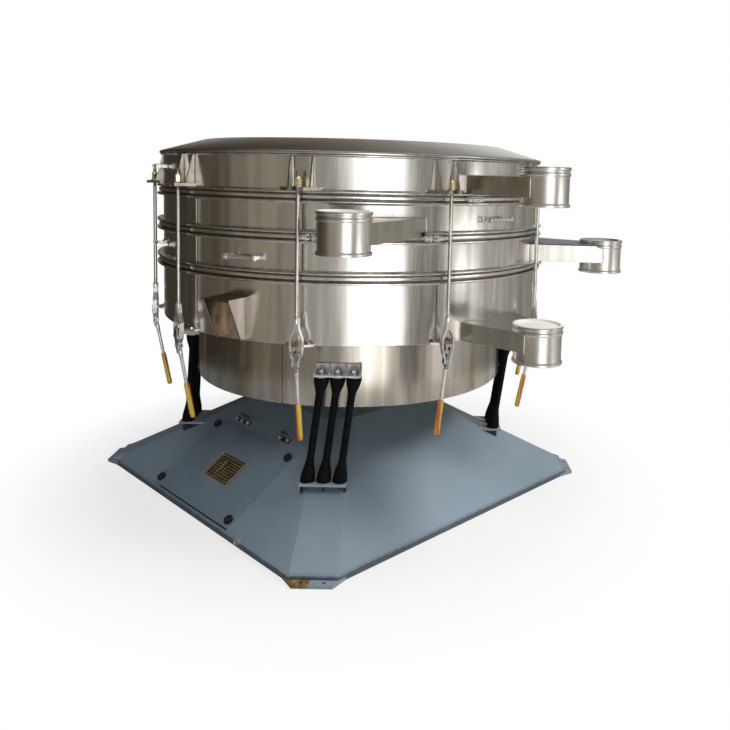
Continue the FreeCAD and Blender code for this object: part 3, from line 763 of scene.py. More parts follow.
piece("plate_rules", joined(raised_lines), brass, place=slope_frame)
rivets = [placed(round_head(5.2, 3.4), Matrix.Translation((x, y, plate_top - 0.1)))
          for x in (x0 + 5, x1 - 5) for y in (y0 + 5, y1 - 5)]
piece("plate_rivets", joined(rivets), bright_plate, place=slope_frame)
print("lines on the plate", len(raised_lines), "and rivets", len(rivets))

# %% [markdown]
# The body hangs and swings on twelve flexible rods, three at each corner facet of the base. They
# lean, because the body stands off the base centre. The level of a foot follows from the slope of
# its facet, and a head stands further out where its rods must clear the drum.

# %% Where the rods stand
foot_r, foot_rise, head_level, leg_twist = 755.0, 30.0, 637.0, 0.9
rod_offsets = (-65.0, 0.0, 65.0)
rod_waist, rod_clearance, head_reach = 17.0, 3.0, 37.0
base_top_facet = 88.0
facet_foot = (base_half.x + base_half.y - 2 * base_ledge - base_facet) / math.sqrt(2)
facet_top = (base_half.x + base_half.y - 2 * (base_ledge + slope_run) - base_top_facet) / math.sqrt(2)
foot_level = base_lip + slope_rise * (facet_foot - foot_r) / (facet_foot - facet_top) + foot_rise


def leg_head_radius(angle):
    """Distance of a head from the body axis: further out where its rods must clear the drum."""
    turn = math.radians(angle)
    foot = Vector((foot_r * math.sin(turn), -foot_r * math.cos(turn), 0)) - body_axis
    share = (drum_floor - foot_level) / (head_level - foot_level)
    clear_of_drum = (drum_r + rod_waist + rod_clearance - (1 - share) * foot.length) / share
    return max(drum_r + head_reach, clear_of_drum)


print("feet at", round(foot_level), "mm, heads at", head_level, "mm")

# %% [markdown]
# A rod is a steel cable or spring bar in thick rubber, slim in the middle and flared where it is
# held. It is turned about its own line, with a smooth step from waist to flare at either end; a
# subdivided cylinder would need its rings placed by hand.

# %% Shape of a rod
drawn_waist, drawn_head, drawn_foot = 15.0, 31.0, 28.5
foot_flare, head_flare = (12.0, 88.0), (8.0, 68.0)
end_gap, rod_rings = 4.0, 40


def flare_share(away, flare):
    """Share of the full flare at a distance from its end: even at first, then falling to none."""
    even, fall = flare
    return max(0.0, 1 - max(0.0, away - even) / fall)


def flexible_rod(foot, head):
    lean = head - foot
    length = lean.length
    profile = [(0, end_gap)]
    for k in range(rod_rings + 1):
        z = end_gap + (length - 2 * end_gap) * k / rod_rings
        low, high = flare_share(z, foot_flare), flare_share(length - z, head_flare)
        end, flare = (drawn_head, high) if high > low else (drawn_foot, low)
        flare = flare * flare * (3 - 2 * flare)
        profile.append((drawn_waist + (end - drawn_waist) * flare, z))
    return along(lathe(profile + [(0, length - end_gap)], 40), foot, lean)


print("a rod is", 2 * drawn_waist, "mm thick at its waist")

# %% [markdown]
# Each rod stands on its foot plate in a round ferrule, with a nut below the plate. Drawing the
# twelve in a loop keeps every rod on the line between its own foot and head.

# %% Flexible rods
ferrule_outline = rounded([(0, 0), (30, 0), (30, 7), (22, 11), (0, 11)], 2)
rods, ferrules, foot_nuts = [], [], []
for angle in leg_angles:
    turn, head_turn = math.radians(angle), math.radians(angle + leg_twist)
    foot_middle = Vector((foot_r * math.sin(turn), -foot_r * math.cos(turn), foot_level))
    foot_side = Vector((math.cos(turn), math.sin(turn), 0))
    head_middle = polar(leg_head_radius(angle), angle + leg_twist, head_level)
    head_side = Vector((math.cos(head_turn), math.sin(head_turn), 0))
    for offset in rod_offsets:
        foot, head = foot_middle + foot_side * offset, head_middle + head_side * offset
        rods.append(flexible_rod(foot, head))
        ferrules.append(placed(lathe(ferrule_outline, 32), Matrix.Translation(foot)))
        below = Matrix.Translation(foot - Vector((0, 0, 11))) @ Matrix.Rotation(math.pi, 4, "X")
        foot_nuts.append(placed(bolt(22.0), below))
rod_piece = piece("flexible_rod_set", joined(rods), rubber, crease=50)
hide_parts("flexible_rods")
piece("rod_ferrules", joined(ferrules), rubber)
piece("rod_foot_nuts", joined(foot_nuts), band_steel, crease=25)
print("flexible rods", len(rods))

# %% [markdown]
# The foot plates are painted pale above, while the pegs under them are given a near-black colour, which is
# painted shade for the dark under the plates. One CAD node holds both, so its paint changes by height
# instead of by piece.

# %% Foot plates
foot_paint = paint("foot_paint", (0.34, 0.37, 0.39), (0.50, 0.52, 0.54))
foot_tree = foot_paint.node_tree
foot_base = foot_tree.nodes["Principled BSDF"].inputs["Base Color"]
plate_from, plate_full = (foot_level - 11.5) * mm, (foot_level - 9.0) * mm
plate_share = spread(foot_tree, heights(foot_tree), 0.0, 1.0, plate_from, plate_full)
# Near-black painted shade for the pegs under the foot plates.
painted_peg_shade = ramp(foot_tree, noise(foot_tree, 30.0), [(0.3, (0.012, 0.014, 0.016)), (0.7, (0.05, 0.055, 0.06))])
foot_tree.links.new(blended(foot_tree, plate_share, painted_peg_shade, foot_base.links[0].from_socket), foot_base)
finish_cad("leg_feet", foot_paint, 1.6)

# %% [markdown]
# Each group of rods hangs from an angle of plated steel that is welded to the drum. Four gussets
# stiffen it. The CAD node is a plain block, so this thinner one is drawn from the same radius and
# replaces it.

# %% Head angles
shelf_low, shelf_high, back_high = head_level + 10, head_level + 18, head_level + 50
shelf_reach, head_half, back_face, gusset_foot = 40.0, 95.0, 756.0, 8.0
angle_parts = []
for angle in leg_angles:
    out, here = leg_head_radius(angle), facing(angle + leg_twist)
    shelf = block(drum_r + 1, out + shelf_reach, -head_half, head_half, shelf_low, shelf_high)
    back = block(drum_r + 0.5, back_face, -head_half, head_half, shelf_high, back_high)
    gusset_end = out + shelf_reach - 4
    gusset = [(back_face, shelf_high), (gusset_end, shelf_high), (gusset_end, shelf_high + 6),
              (back_face + gusset_foot, back_high), (back_face, back_high)]
    angle_parts += [placed(shelf, here), placed(back, here)]
    angle_parts += [placed(side_prism(gusset, 7.0, middle), here) for middle in (-91.0, -32.5, 32.5, 91.0)]
print("parts of the head angles", len(angle_parts))

# %% [markdown]
# A bolt stands on the shelf over each rod, with a wide washer under the shelf, and the rubber of
# the rod swells into a cup below that. Washer, cup and bolt are drawn once and set twelve times.

# %% Heads of the rods
head_plate = plain("head_plate", (0.72, 0.72, 0.71), (0.95, 0.95, 0.94), rough=0.34, metallic=0.25,
                   scale=60.0, depth=0.2)
cup = lathe(rounded([(19, -8), (31, -12), (32, -2), (31, 5), (19, 5)], 2.5), 40)
washer = lathe(rounded([(10, 4.5), (31, 4.5), (33, 7), (31, 10.5), (10, 10.5)], 1.0), 40)
head_bolt = bolt(27.0, 14.0, 6.0)
head_parts, cup_parts = [], []
for angle in leg_angles:
    out, here = leg_head_radius(angle), facing(angle + leg_twist)
    for offset in rod_offsets:
        at_head = here @ Matrix.Translation((out, offset, head_level))
        angle_parts.append(placed(washer, at_head))
        cup_parts.append(placed(cup, at_head))
        head_parts.append(placed(head_bolt, here @ Matrix.Translation((out + 4, offset, shelf_high))))
heads_piece = piece("head_angles", joined(angle_parts), head_plate, bevel=1.2)
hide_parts("leg_heads")
piece("head_bolts", joined(head_parts), zinc, crease=25)
piece("rod_cups", joined(cup_parts), rubber)
print("bolts at the heads", len(head_parts))

# %% [markdown]
# Four outlets leave the body, one from each shell. Each is given by the place and level of its
# round spout and by the two angles between which its chute meets the wall. There the wall is open:
# a test for the lathe tells which faces a chute covers, which needs no boolean.

# %% Outlet places
spouts = {
    "top": {"z": 1424.0, "r": 1200.0, "angle": 86.5, "mouth": (79.2, 102.3), "lift": 0.0},
    "upper": {"z": 1255.0, "r": 1200.0, "angle": 48.2, "mouth": (42.6, 68.1), "lift": 0.0},
    "lower": {"z": 1102.0, "r": 1210.0, "angle": 123.0, "mouth": (114.0, 137.5), "lift": 14.0},
    "bottom": {"z": 821.0, "r": 1190.0, "angle": 86.8, "mouth": (78.6, 101.8), "lift": 11.0},
}
chute_half = 38.0
mouth_edge, mouth_depth = 0.6, 10.0


def in_a_chute(angle, radius, z):
    for values in spouts.values():
        first, last = values["mouth"]
        inside = first + mouth_edge < angle < last - mouth_edge
        level = values["z"] + values["lift"]
        if inside and abs(z - level) < chute_half - 2 and radius > body_r - mouth_depth:
            return True
    return False


print("outlets", len(spouts))

# %% [markdown]
# A shell is a rolled wall with a flange turned out near each end, where a clamping band grips it.
# It is one outline for the lathe. The wall is divided in height where its chute begins and ends, so
# that whole faces can be left out there.

# %% Outline of a shell
wall = 4.0
joint_gap = 0.3
flange_inset, flange_height, flange_root = 14.0, 9.0, 13.0
inner_r = body_r - wall


def frame_profile(low, high, below, above):
    """Closed outline of a shell, with a flange below, above or at both ends."""
    chute_ends = [values["z"] + values["lift"] + side * (chute_half - 1)
                  for values in spouts.values() for side in (-1, 1)]
    divisions = [(body_r, z) for z in sorted(chute_ends)
                 if low + 2 * flange_inset < z < high - 2 * flange_inset]
    points = [(inner_r, low), (body_r, low)]
    for z, wanted, up in ((low + flange_inset, below, 1), (high - flange_inset, above, -1)):
        if wanted:
            flange = [(body_r, z), (flange_r, z), (flange_r, z + up * flange_height),
                      (body_r + 3, z + up * flange_height), (body_r, z + up * flange_root)]
            points += divisions if up < 0 else []
            points += flange if up > 0 else flange[::-1]
            divisions = [] if up < 0 else divisions
    return points + divisions + [(body_r, high), (inner_r, high)]


print("points of a shell's outline", len(frame_profile(levels["lower"], levels["upper"], True, True)))

# %% [markdown]
# All turned pieces of the body end up the same way: the outline is rounded, spun in 360 steps and
# set on the axis, and the new piece replaces its CAD node. The two middle shells are alike.

# %% Middle shells
turns = 360
on_axis = Matrix.Translation(body_axis)


def turned_piece(name, profile, radius, material, skip=None):
    """A rounded outline turned about the body's axis."""
    part = placed(lathe(rounded(profile, radius), turns, skip), on_axis)
    return piece(name, part, material)


for node, name, above in (("lower_frame", "lower", "upper"), ("upper_frame", "upper", "top")):
    profile = frame_profile(levels[name], levels[above] - joint_gap, True, True)
    shell = turned_piece(node + "_shell", profile, 3.2, wall_steel, in_a_chute)
    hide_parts(node)
print("middle shells are", levels["top"] - levels["upper"], "mm high or a little more")

# %% [markdown]
# The bottom shell carries the floor that reaches over the drum, and the top shell widens into a rim
# for the lid. Both take the same outline as the others and change only its ends.

# %% Bottom and top shell
floor_low, floor_high = levels["bottom"], levels["bottom"] + 6.0
bottom_high = levels["lower"] - joint_gap
bottom_profile = frame_profile(levels["bottom"], bottom_high, False, True)
bottom_profile = ([(0, floor_low), (body_r, floor_low), (body_r, floor_low + 5)] + bottom_profile[2:-1]
                  + [(inner_r, bottom_high), (inner_r, floor_high), (0, floor_high)])
bottom_shell = turned_piece("bottom_frame_shell", bottom_profile, 3.2, wall_steel, in_a_chute)
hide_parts("bottom_frame")

rim_r = body_r + 12.0
top_profile = frame_profile(levels["top"], body_top, True, False)[:-2]
top_profile += [(body_r, body_top - 7), (rim_r, body_top - 6), (rim_r, body_top), (inner_r, body_top)]
top_shell = turned_piece("top_frame_shell", top_profile, 3.0, wall_steel, in_a_chute)
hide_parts("top_frame")
print("body from", levels["bottom"], "to", body_top, "mm")

# %% [markdown]
# The lid is a shallow cone with a flat crown, pressed over the rim. The drum is a plain pot under
# the body that hides the drive. Both are single outlines.

# %% Lid and skirt drum
drum_steel = steel("drum_steel", (0.44, 0.415, 0.365), (0.53, 0.505, 0.46), rough=0.22, wave=0.8,
                   stain=0.5)
lid_steel = steel("lid_steel", (0.56, 0.53, 0.48), (0.61, 0.585, 0.54), rough=0.22, wave=0.3,
                  stain=0.2, along_z=1.0, bar_tone=0.95)
lid_foot, lid_edge_r, lid_inner_r = body_top + 0.4, 917.0, 898.0
crown_r, crown_top, crown_bottom = 722.0, 1597.0, 1594.0
lid_profile = [(lid_edge_r - 3, lid_foot), (lid_edge_r, body_top + 4), (lid_edge_r, body_top + 10),
               (lid_edge_r - 5, body_top + 14), (crown_r, crown_top), (0, crown_top), (0, crown_bottom),
               (crown_r, crown_bottom), (lid_inner_r, body_top + 9), (lid_inner_r, lid_foot)]
lid_piece = turned_piece("lid_shell", lid_profile, 4.0, lid_steel)
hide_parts("lid")

drum_top, drum_inner, drum_floor_top = levels["bottom"] - joint_gap, drum_r - wall, drum_floor + 8
drum_profile = [(0, drum_floor), (drum_r, drum_floor), (drum_r, drum_top), (drum_inner, drum_top),
                (drum_inner, drum_floor_top), (0, drum_floor_top)]
drum_piece = turned_piece("drum_shell", drum_profile, 4.0, drum_steel)
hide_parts("skirt_drum")
print("drum", 2 * drum_r, "mm across")

# %% [markdown]
# A clamping band sits in the gap of each joint and pulls the two flanges together. It is a round bead on a
# flat ring of dark steel, whose dark tone is painted shade for the gap on each side of the bead, so a joint
# reads as three bright lines with two shadows between them.

# %% Clamping bands
flange_steel = steel("flange_steel", (0.66, 0.64, 0.59), (0.86, 0.85, 0.82), rough=0.16, wave=0.1,
                     stain=0.2, along_z=1.0, bar_tone=0.95)
bead_in, bead_out, bead_half = 908.0, 920.0, 8.0
ring_in, ring_out, ring_half = 904.0, 909.0, 13.7
bands, groove_shade_rings = [], []
for name in ("lower", "upper", "top"):
    low, high = levels[name] - bead_half, levels[name] + bead_half
    bead = rounded([(bead_in, low), (bead_out, low), (bead_out, high), (bead_in, high)], 6.0, 5)
    bands.append(lathe(bead, turns, in_a_chute))
    low, high = levels[name] - ring_half, levels[name] + ring_half
    ring = [(ring_in, low), (ring_out, low), (ring_out, high), (ring_in, high)]
    groove_shade_rings.append(lathe(ring, turns, in_a_chute))
# The dark steel of these rings is painted shade in the gap between the bead and each flange.
piece("band_groove_shade_rings", placed(joined(groove_shade_rings), on_axis), band_steel)
band_piece = piece("clamping_bands", placed(joined(bands), on_axis), flange_steel)
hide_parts("clamp_bands")
print("clamping bands", len(bands))

# %% [markdown]
# A band closes with two bent ears and a bolt through them. The ears stand a little out of the
# band, with the bolt head on one side and a nut with its thread on the other, and a round barrel
# outside each ear. One latch is drawn round its own origin and set at every closing.

# %% Band latches
ear_side, bolt_out, nut_side = 15.0, 12.0, 18.5
ear = rounded([(0, -13), (22, -13), (22, 13), (0, 13)], 5)
barrel = lathe(rounded([(4.6, 19.0), (11.5, 19.0), (11.5, 41.0), (4.6, 41.0)], 2.0), 28)
latch = []
for side in (-1, 1):
    middle = side * ear_side
    latch += [side_prism(ear, 7.0, middle), block(0, 6, middle - 12, middle + 12, -12, 12),
              along(barrel, (10, 0, 0), (0, side, 0))]
latch_bolt = [along(thread(4.5, -34, 34, 1.8), (bolt_out, 0, 0), (0, 1, 0)),
              along(bolt(15.0, 8.0, 0.0), (bolt_out, nut_side, 0), (0, 1, 0)),
              along(hexagon_nut(15.0, 9.0), (bolt_out, -nut_side, 0), (0, -1, 0))]
latch_angles = {"top": (81.0, 261.0), "upper": (39.6, 69.3, 219.6), "lower": (127.0, 307.0)}
latch_parts, latch_bolts = [], []
for name, angles in latch_angles.items():
    for angle in angles:
        here = facing(angle) @ Matrix.Translation((bead_out - 1, 0, levels[name]))
        latch_parts.append(placed(joined(latch), here))
        latch_bolts.append(placed(joined(latch_bolt), here))
latch_piece = piece("latch_ears", joined(latch_parts), bright_plate, bevel=1.0)
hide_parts("band_latches")
piece("latch_bolts", joined(latch_bolts), zinc, crease=25)
print("latches", len(latch_parts))

# %% [markdown]
# The rolled sheets are welded shut. Bright beads show where the weld was left, and narrow dark
# ones where it was ground back or where two sheets only meet. Both are flattened sweeps up the
# wall, each given by its radius, its angle and the heights where it ends.

# %% Seams of the shells
def upright_seam(radius, angle, low, high, size, ripple=0.12):
    path = line(polar(radius, angle, low), polar(radius, angle, high), 3.0)
    return sweep(path, size, sides=8, ripple=ripple, flat=0.7)


weld_steel = plated("weld_steel", (0.46, 0.43, 0.38), (0.80, 0.78, 0.74), rough=0.34)
seam_dark = plain("seam_dark", (0.012, 0.011, 0.010), (0.05, 0.046, 0.04), rough=0.6, scale=40.0)
upper_wall, lower_wall, bottom_wall, top_wall = (1237, 1352), (1079, 1198), (795, 1040), (1392, 1520)
drum_wall = (502, 789)
bright_seams = [upright_seam(body_r, angle, low, high, 2.4)
                for angle, (low, high) in ((4.4, upper_wall), (4.4, lower_wall), (4.1, bottom_wall),
                                           (184.4, upper_wall), (184.4, lower_wall),
                                           (184.1, bottom_wall), (91.1, (870, 1040)), (262.0, top_wall))]
piece("bright_seams", joined(bright_seams), weld_steel)
dark_seams = [upright_seam(radius, angle, low, high, 1.8)
              for radius, angle, (low, high) in ((body_r, 37.3, upper_wall), (body_r, 37.3, lower_wall),
                                                 (body_r, 71.4, bottom_wall), (body_r, 35.2, top_wall),
                                                 (body_r, 217.3, (1079, 1352)), (drum_r, 27.5, drum_wall),
                                                 (drum_r, 207.5, drum_wall), (drum_r, 118.0, drum_wall))]
piece("dark_seams", joined(dark_seams), seam_dark)
print("seams", len(bright_seams), "bright and", len(dark_seams), "dark")

# %% [markdown]
# Material leaves the sieve through round spouts, open below, where a sleeve is clamped on. A spout
# has a double bead at its upper rim and a single one at its foot, and a sunk cap closes its top. Its
# outline is symmetric in height, so both ends are worked out from its middle.

# %% Spout and cap
spout_r, spout_half = 93.0, 74.0
spout_bead_r, bore_r = spout_r + 5, spout_r - 3
cap_r, cap_rim_r = bore_r - 1, 97.4


def spout_parts(z):
    low, high = z - spout_half, z + spout_half
    outside = [(spout_bead_r - 1, low), (spout_bead_r, low + 4), (spout_bead_r, low + 10),
               (spout_r, low + 14), (spout_r, high - 32), (spout_bead_r - 0.5, high - 29),
               (spout_bead_r - 0.5, high - 21), (spout_r + 0.5, high - 18), (spout_r + 0.5, high - 11),
               (spout_bead_r, high - 8), (spout_bead_r, high), (bore_r + 1, high), (bore_r, high - 8),
               (bore_r, low)]
    cap = [(0, high - 12), (cap_r, high - 12), (cap_r, high + 0.2), (cap_rim_r - 0.6, high + 0.2),
           (cap_rim_r, high + 3), (87, high + 3.5), (82, high - 4), (60, high - 4), (0, high - 2.5)]
    return lathe(rounded(outside, 1.8), 128), lathe(rounded(cap, 1.5), 96)


print("faces of a spout and its cap", [len(part[1]) for part in spout_parts(0.0)])

# %% [markdown]
# A chute is a flat box from the wall to the spout. Its sides run tangent to the round spout, which
# the outline works out from the two ends of the mouth. The box is a skin of sheet, open at both
# ends, because one can look through the spout into it.

# %% Chutes
tangent_r = spout_r - 0.5


def chute_outline(values, start_r):
    """Four corners of a chute seen from above, from the wall to the spout and back."""
    centre = polar(values["r"], values["angle"])
    corners = []
    for mouth, side in zip(values["mouth"], (-1, 1)):
        start = polar(start_r, mouth)
        reach = centre - start
        heading = math.atan2(reach.y, reach.x) + side * math.asin(tangent_r / reach.length)
        length = math.sqrt(reach.length ** 2 - tangent_r ** 2)
        end = start + Vector((math.cos(heading), math.sin(heading), 0)) * length
        corners += [(start.x, start.y), (end.x, end.y)][::-side]
    return corners


def open_box(outline, low, high, skin=3.0):
    """Four walls of a chute with a skin thickness, open at both ends."""
    count = len(outline)
    centre = sum((Vector(p) for p in outline), Vector((0, 0))) / count
    inner = [Vector(p) + (centre - Vector(p)).normalized() * skin * 1.4 for p in outline]
    parts = [prism(outline, high - skin, high), prism(outline, low, low + skin)]
    for a, b in ((0, 1), (2, 3)):
        side_wall = [outline[a], outline[b], tuple(inner[b]), tuple(inner[a])]
        parts.append(prism(side_wall, low + skin * 0.5, high - skin * 0.5))
    return joined(parts)


print("sides of a chute", len(chute_outline(spouts["top"], body_r)))

# %% [markdown]
# A chute is welded all round its mouth and along both corners at the spout. Every bead wavers a
# little, and the ones on the wall follow its curve.

# %% Welds of a chute
mouth_steps, wall_weld, corner_weld = 90, 2.6, 2.2


def chute_welds(values, outline, low, high):
    first, last = values["mouth"]
    beads = []
    for z in (low, high):
        arc = [polar(body_r + 1, first + (last - first) * k / mouth_steps, z)
               for k in range(mouth_steps + 1)]
        beads.append(sweep(arc, wall_weld, sides=6, ripple=0.3))
    for mouth in (first, last):
        upright = line(polar(body_r + 1, mouth, low), polar(body_r + 1, mouth, high), 3.0)
        beads.append(sweep(upright, wall_weld, sides=6, ripple=0.3))
    for corner in (outline[1], outline[2]):
        upright = line(Vector((*corner, low)), Vector((*corner, high)), 3.0)
        beads.append(sweep(upright, corner_weld, sides=6, ripple=0.3))
    return joined(beads)


print("points along a mouth", mouth_steps + 1)

# %% [markdown]
# The four outlets differ only in place and finish: two caps are white, and the chute under the thin cover is
# brighter steel. A loop sets them all, and the CAD node is hidden after it.

# %% Outlets
spout_steel = steel("spout_steel", (0.68, 0.665, 0.63), (0.86, 0.85, 0.83), rough=0.29, wave=0.35,
                    stain=0.3, bar_tone=0.86)
chute_steel = steel("chute_steel", (0.54, 0.51, 0.455), (0.68, 0.66, 0.62), rough=0.34, wave=0.3,
                    stain=0.35, along_z=0.3, bar_tone=0.90)
cap_white = plain("cap_white", (0.84, 0.83, 0.79), (0.93, 0.92, 0.89), rough=0.38, scale=12.0)
chute_materials = {"top": chute_steel, "upper": chute_steel, "lower": spout_steel, "bottom": chute_steel}
cap_materials = {"top": spout_steel, "upper": cap_white, "lower": spout_steel, "bottom": cap_white}
for name, values in spouts.items():
    here = Matrix.Translation(polar(values["r"], values["angle"]))
    shell, cap = spout_parts(values["z"])
    piece(name + "_spout", placed(shell, here), spout_steel)
    piece(name + "_cap", placed(cap, here), cap_materials[name])
    middle = values["z"] + values["lift"]
    low, high = middle - chute_half, middle + chute_half
    outline = chute_outline(values, body_r - 3)
    piece(name + "_chute", open_box(outline, low, high), chute_materials[name], bevel=1.2)
    piece(name + "_chute_welds", chute_welds(values, outline, low, high), weld_steel)
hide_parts("outlets")

# %% [markdown]
# A thin dark sheet lies loose on the lower chute, cut to the same outline. It is a plate of a few
# millimetres a hair above the steel, so that the two faces don't fight.

# %% Sheet on the lower chute
cover_grey = plain("cover_grey", (0.085, 0.09, 0.105), (0.16, 0.165, 0.18), rough=0.5, metallic=0.2,
                   scale=14.0, depth=0.2)
lower = spouts["lower"]
cover_level = lower["z"] + lower["lift"] + chute_half
cover = prism(chute_outline(lower, body_r + 8), cover_level + 0.5, cover_level + 5)
piece("lower_chute_cover", cover, cover_grey, bevel=1.0)

# %% [markdown]
# The clamp plates, lugs and handles keep their CAD shape, which is already that of the cut and
# welded steel. Their edges get a small bevel and each its own finish.

# %% Clamp plates, lugs and handles
bracket_steel = steel("bracket_steel", (0.34, 0.325, 0.29), (0.46, 0.445, 0.41), rough=0.27, wave=0.1,
                      stain=0.3, along_z=1.0, bar_tone=0.95)
finish_cad("clamp_brackets", bracket_steel, 1.2)
finish_cad("lever_lugs", chute_steel, 1.2)
finish_cad("bar_handles", bright_plate, 2.0)

# %% [markdown]
# A box bracket on the bottom shell is a pocket whose inside is painted dark brown: painted shade in the
# pocket and a painted reflection of the warm room. Inside means near the bracket's middle plane, so the
# shader measures the distance from that plane. The steel outside stays grey.

# %% Box brackets
box_steel = steel("box_steel", (0.36, 0.315, 0.275), (0.50, 0.455, 0.41), rough=0.34, wave=0.4, stain=0.5)
box_tree = box_steel.node_tree
box_angle = 18.5
across_box = Vector((math.cos(math.radians(box_angle)), math.sin(math.radians(box_angle)), 0))
aside = add_node(box_tree, "ShaderNodeVectorMath",
                 {0: add_node(box_tree, "ShaderNodeTexCoord").outputs["Object"], 1: across_box},
                 operation="DOT_PRODUCT")
from_middle = add_node(box_tree, "ShaderNodeMath",
                       {0: aside.outputs["Value"], 1: -mm * body_axis.dot(across_box)}, operation="ADD")
distance = add_node(box_tree, "ShaderNodeMath", {0: from_middle.outputs[0]}, operation="ABSOLUTE")
inside = spread(box_tree, distance.outputs[0], 1.0, 0.0, 0.058, 0.060)
# The dark brown inside the pocket is painted shade and a painted reflection of the warm room.
painted_shade_and_reflection = ramp(box_tree, noise(box_tree, 18.0, (1, 1, 0.5), detail=5.0),
                [(0.3, (0.045, 0.030, 0.018)), (0.7, (0.23, 0.165, 0.105))])
paint_over(box_steel, inside, painted_shade_and_reflection)
finish_cad("box_brackets", box_steel, 1.4)

# %% [markdown]
# The ribs of the clamp plates are welded to the top shell on both faces. Where an outlet's mouth is
# in the way there is no wall to weld to, so those ribs get no bead.

# %% Welds of the clamp plates
rib_middle, rib_face, rib_foot, rib_head = 43.0, 4.5, 1404, 1518
mouth_margin = 5.0
mouths = [values["mouth"] for values in spouts.values()]
bracket_welds = []
for angle in clamp_angles:
    here = facing(angle)
    if any(first - mouth_margin < angle < last + mouth_margin for first, last in mouths):
        continue
    for y in (-rib_middle - rib_face, -rib_middle + rib_face, rib_middle - rib_face, rib_middle + rib_face):
        upright = line(Vector((body_r, y, rib_foot)), Vector((body_r, y, rib_head)), 4.0)
        bracket_welds.append(placed(sweep(upright, 2.0, sides=6, ripple=0.3), here))
piece("bracket_welds", joined(bracket_welds), weld_steel)
print("beads on the ribs", len(bracket_welds))

# %% [markdown]
# The box brackets are only stitched on: short bright beads with gaps between them. The beads are thick and
# uneven, so they show even from a distance. Their pale, half-metallic finish is a painted highlight for the
# glints on them.

# %% Stitch welds of the box brackets
stitch_ends = ((800, 828), (836, 862), (870, 896), (904, 926), (934, 952))
box_half = 65.5
stitch_r = math.sqrt(body_r ** 2 - box_half ** 2)
stitches = []
for angle in (box_angle, box_angle + 180):
    for y in (-box_half, box_half):
        for low, high in stitch_ends:
            upright = line(Vector((stitch_r, y, low)), Vector((stitch_r, y, high)), 3.0)
            stitches.append(placed(sweep(upright, 3.6, sides=6, ripple=0.35), facing(angle)))
# The pale head plate finish here is a painted highlight on the weld beads.
piece("stitch_welds", joined(stitches), head_plate)
print("stitches", len(stitches))

# %% [markdown]
# Each leg of a bar handle ends in a collar round the bar and a round seat on the wall. Ring and
# seat are turned once and laid at both legs of every handle.

# %% Handle collars
ring = lathe(rounded([(7.5, -8), (12, -8), (12, 8), (7.5, 8)], 1.5), 28)
seat = lathe(rounded([(0, 0), (14, 0), (13, 4), (0, 5)], 1), 24)
leg_reach = 65.0
collars = []
for name, rise, angles in (("top", 101.0, (340.5, 160.5)), ("upper", 70.0, (90.0, 270.0)),
                           ("lower", 68.0, (21.7, 340.5, 200.0, 160.5))):
    for angle in angles:
        here = facing(angle) @ Matrix.Translation((934, 0, levels[name] + rise))
        for y in (-leg_reach, leg_reach):
            collars.append(placed(along(ring, (0, y, 0), (0, 1, 0)), here))
            collars.append(placed(along(seat, (-36.0, y, 0), (1, 0, 0)), here))
piece("handle_collars", joined(collars), bright_plate)
print("collars and seats", len(collars))

# %% [markdown]
# Round heads fasten the drum floor all round. They are set by a plain loop, since an array
# modifier would need a helper object to turn them.

# %% Drum screws
screw_count, first_screw = 20, 6.0
screw = along(round_head(6.0, 4.5), (drum_r - 0.5, 0, drum_floor + 11), (1, 0, 0))
screws = [placed(screw, facing(first_screw + 360.0 * k / screw_count)) for k in range(screw_count)]
piece("drum_screws", joined(screws), zinc)
print("drum screws", len(screws))

# %% [markdown]
# One clamp is drawn in a frame with X outward from the body, and set ten times. Its lever turns on
# a pin in the lug, and the yoke hangs on a second pin below. Heads of hexagon bolts close the
# lever's pin on both sides, and two smaller ones hold each lug.

# %% Bolts of the lever lugs
link_r, pivot_r, link_z, pivot_z = 950.0, 954.0, 730.0, 770.0
pin_side, lug_bolt_r, lug_bolt_side, lug_bolt_z = 13.9, 912, 38, 800
lug_bolts = []
for angle in clamp_angles:
    for side in (-1, 1):
        head = along(bolt(16.0, 9.0, 2.0), (pivot_r, side * pin_side, pivot_z), (0, side, 0))
        at_lug = Matrix.Translation((lug_bolt_r, side * lug_bolt_side, lug_bolt_z))
        lug_bolts += [placed(head, facing(angle)), placed(bolt(12.0, 6.0, 1.0), facing(angle) @ at_lug)]
piece("lug_bolts", joined(lug_bolts), zinc, crease=25)
print("bolts on the lugs", len(lug_bolts))

# %% [markdown]
# The yoke is a strap bent like a wishbone round the lever. Half of its edge is a list of points,
# seen from outside the body, and mirroring gives the other half. A ferrule joins it to the rod
# above, and a collar stands round the lower pin on each side.

# %% Yoke


def strap_outline():
    """Outer and inner edge of the wishbone, from its head down to the link pin."""
    right = [(11, 905), (11, 866), (18, 848), (26, 828), (27, 792), (24, 766), (14, 744), (12.5, 734),
             (12.5, 718), (7.5, 718), (7.5, 736), (9.5, 747), (18.5, 768), (21.5, 792), (20.5, 826),
             (12, 843), (4, 856)]
    return right + [(-y, z) for y, z in reversed(right)]


strap_half = 10.0
yoke_parts = [cross_prism(rounded(strap_outline(), 7, 4), link_r - strap_half, link_r + strap_half)]
ferrule = lathe(rounded([(0, 884), (12.5, 884), (12.5, 900), (10, 912), (0, 912)], 2.5), 32)
yoke_parts.append(placed(ferrule, Matrix.Translation((link_r, 0, 0))))
collar = lathe(rounded([(7.1, 0), (12, 0), (12, 3), (7.1, 3)], 0.8), 28)
yoke_parts += [along(collar, (link_r, side * 12.6, link_z), (0, side, 0)) for side in (-1, 1)]
yoke = joined(yoke_parts)
print("faces of a yoke", len(yoke[1]))

# %% [markdown]
# The tension rod ends in a thread that carries a washer and a long brass nut with a round neck. The
# nut is a part of its own, because it has its own metal.

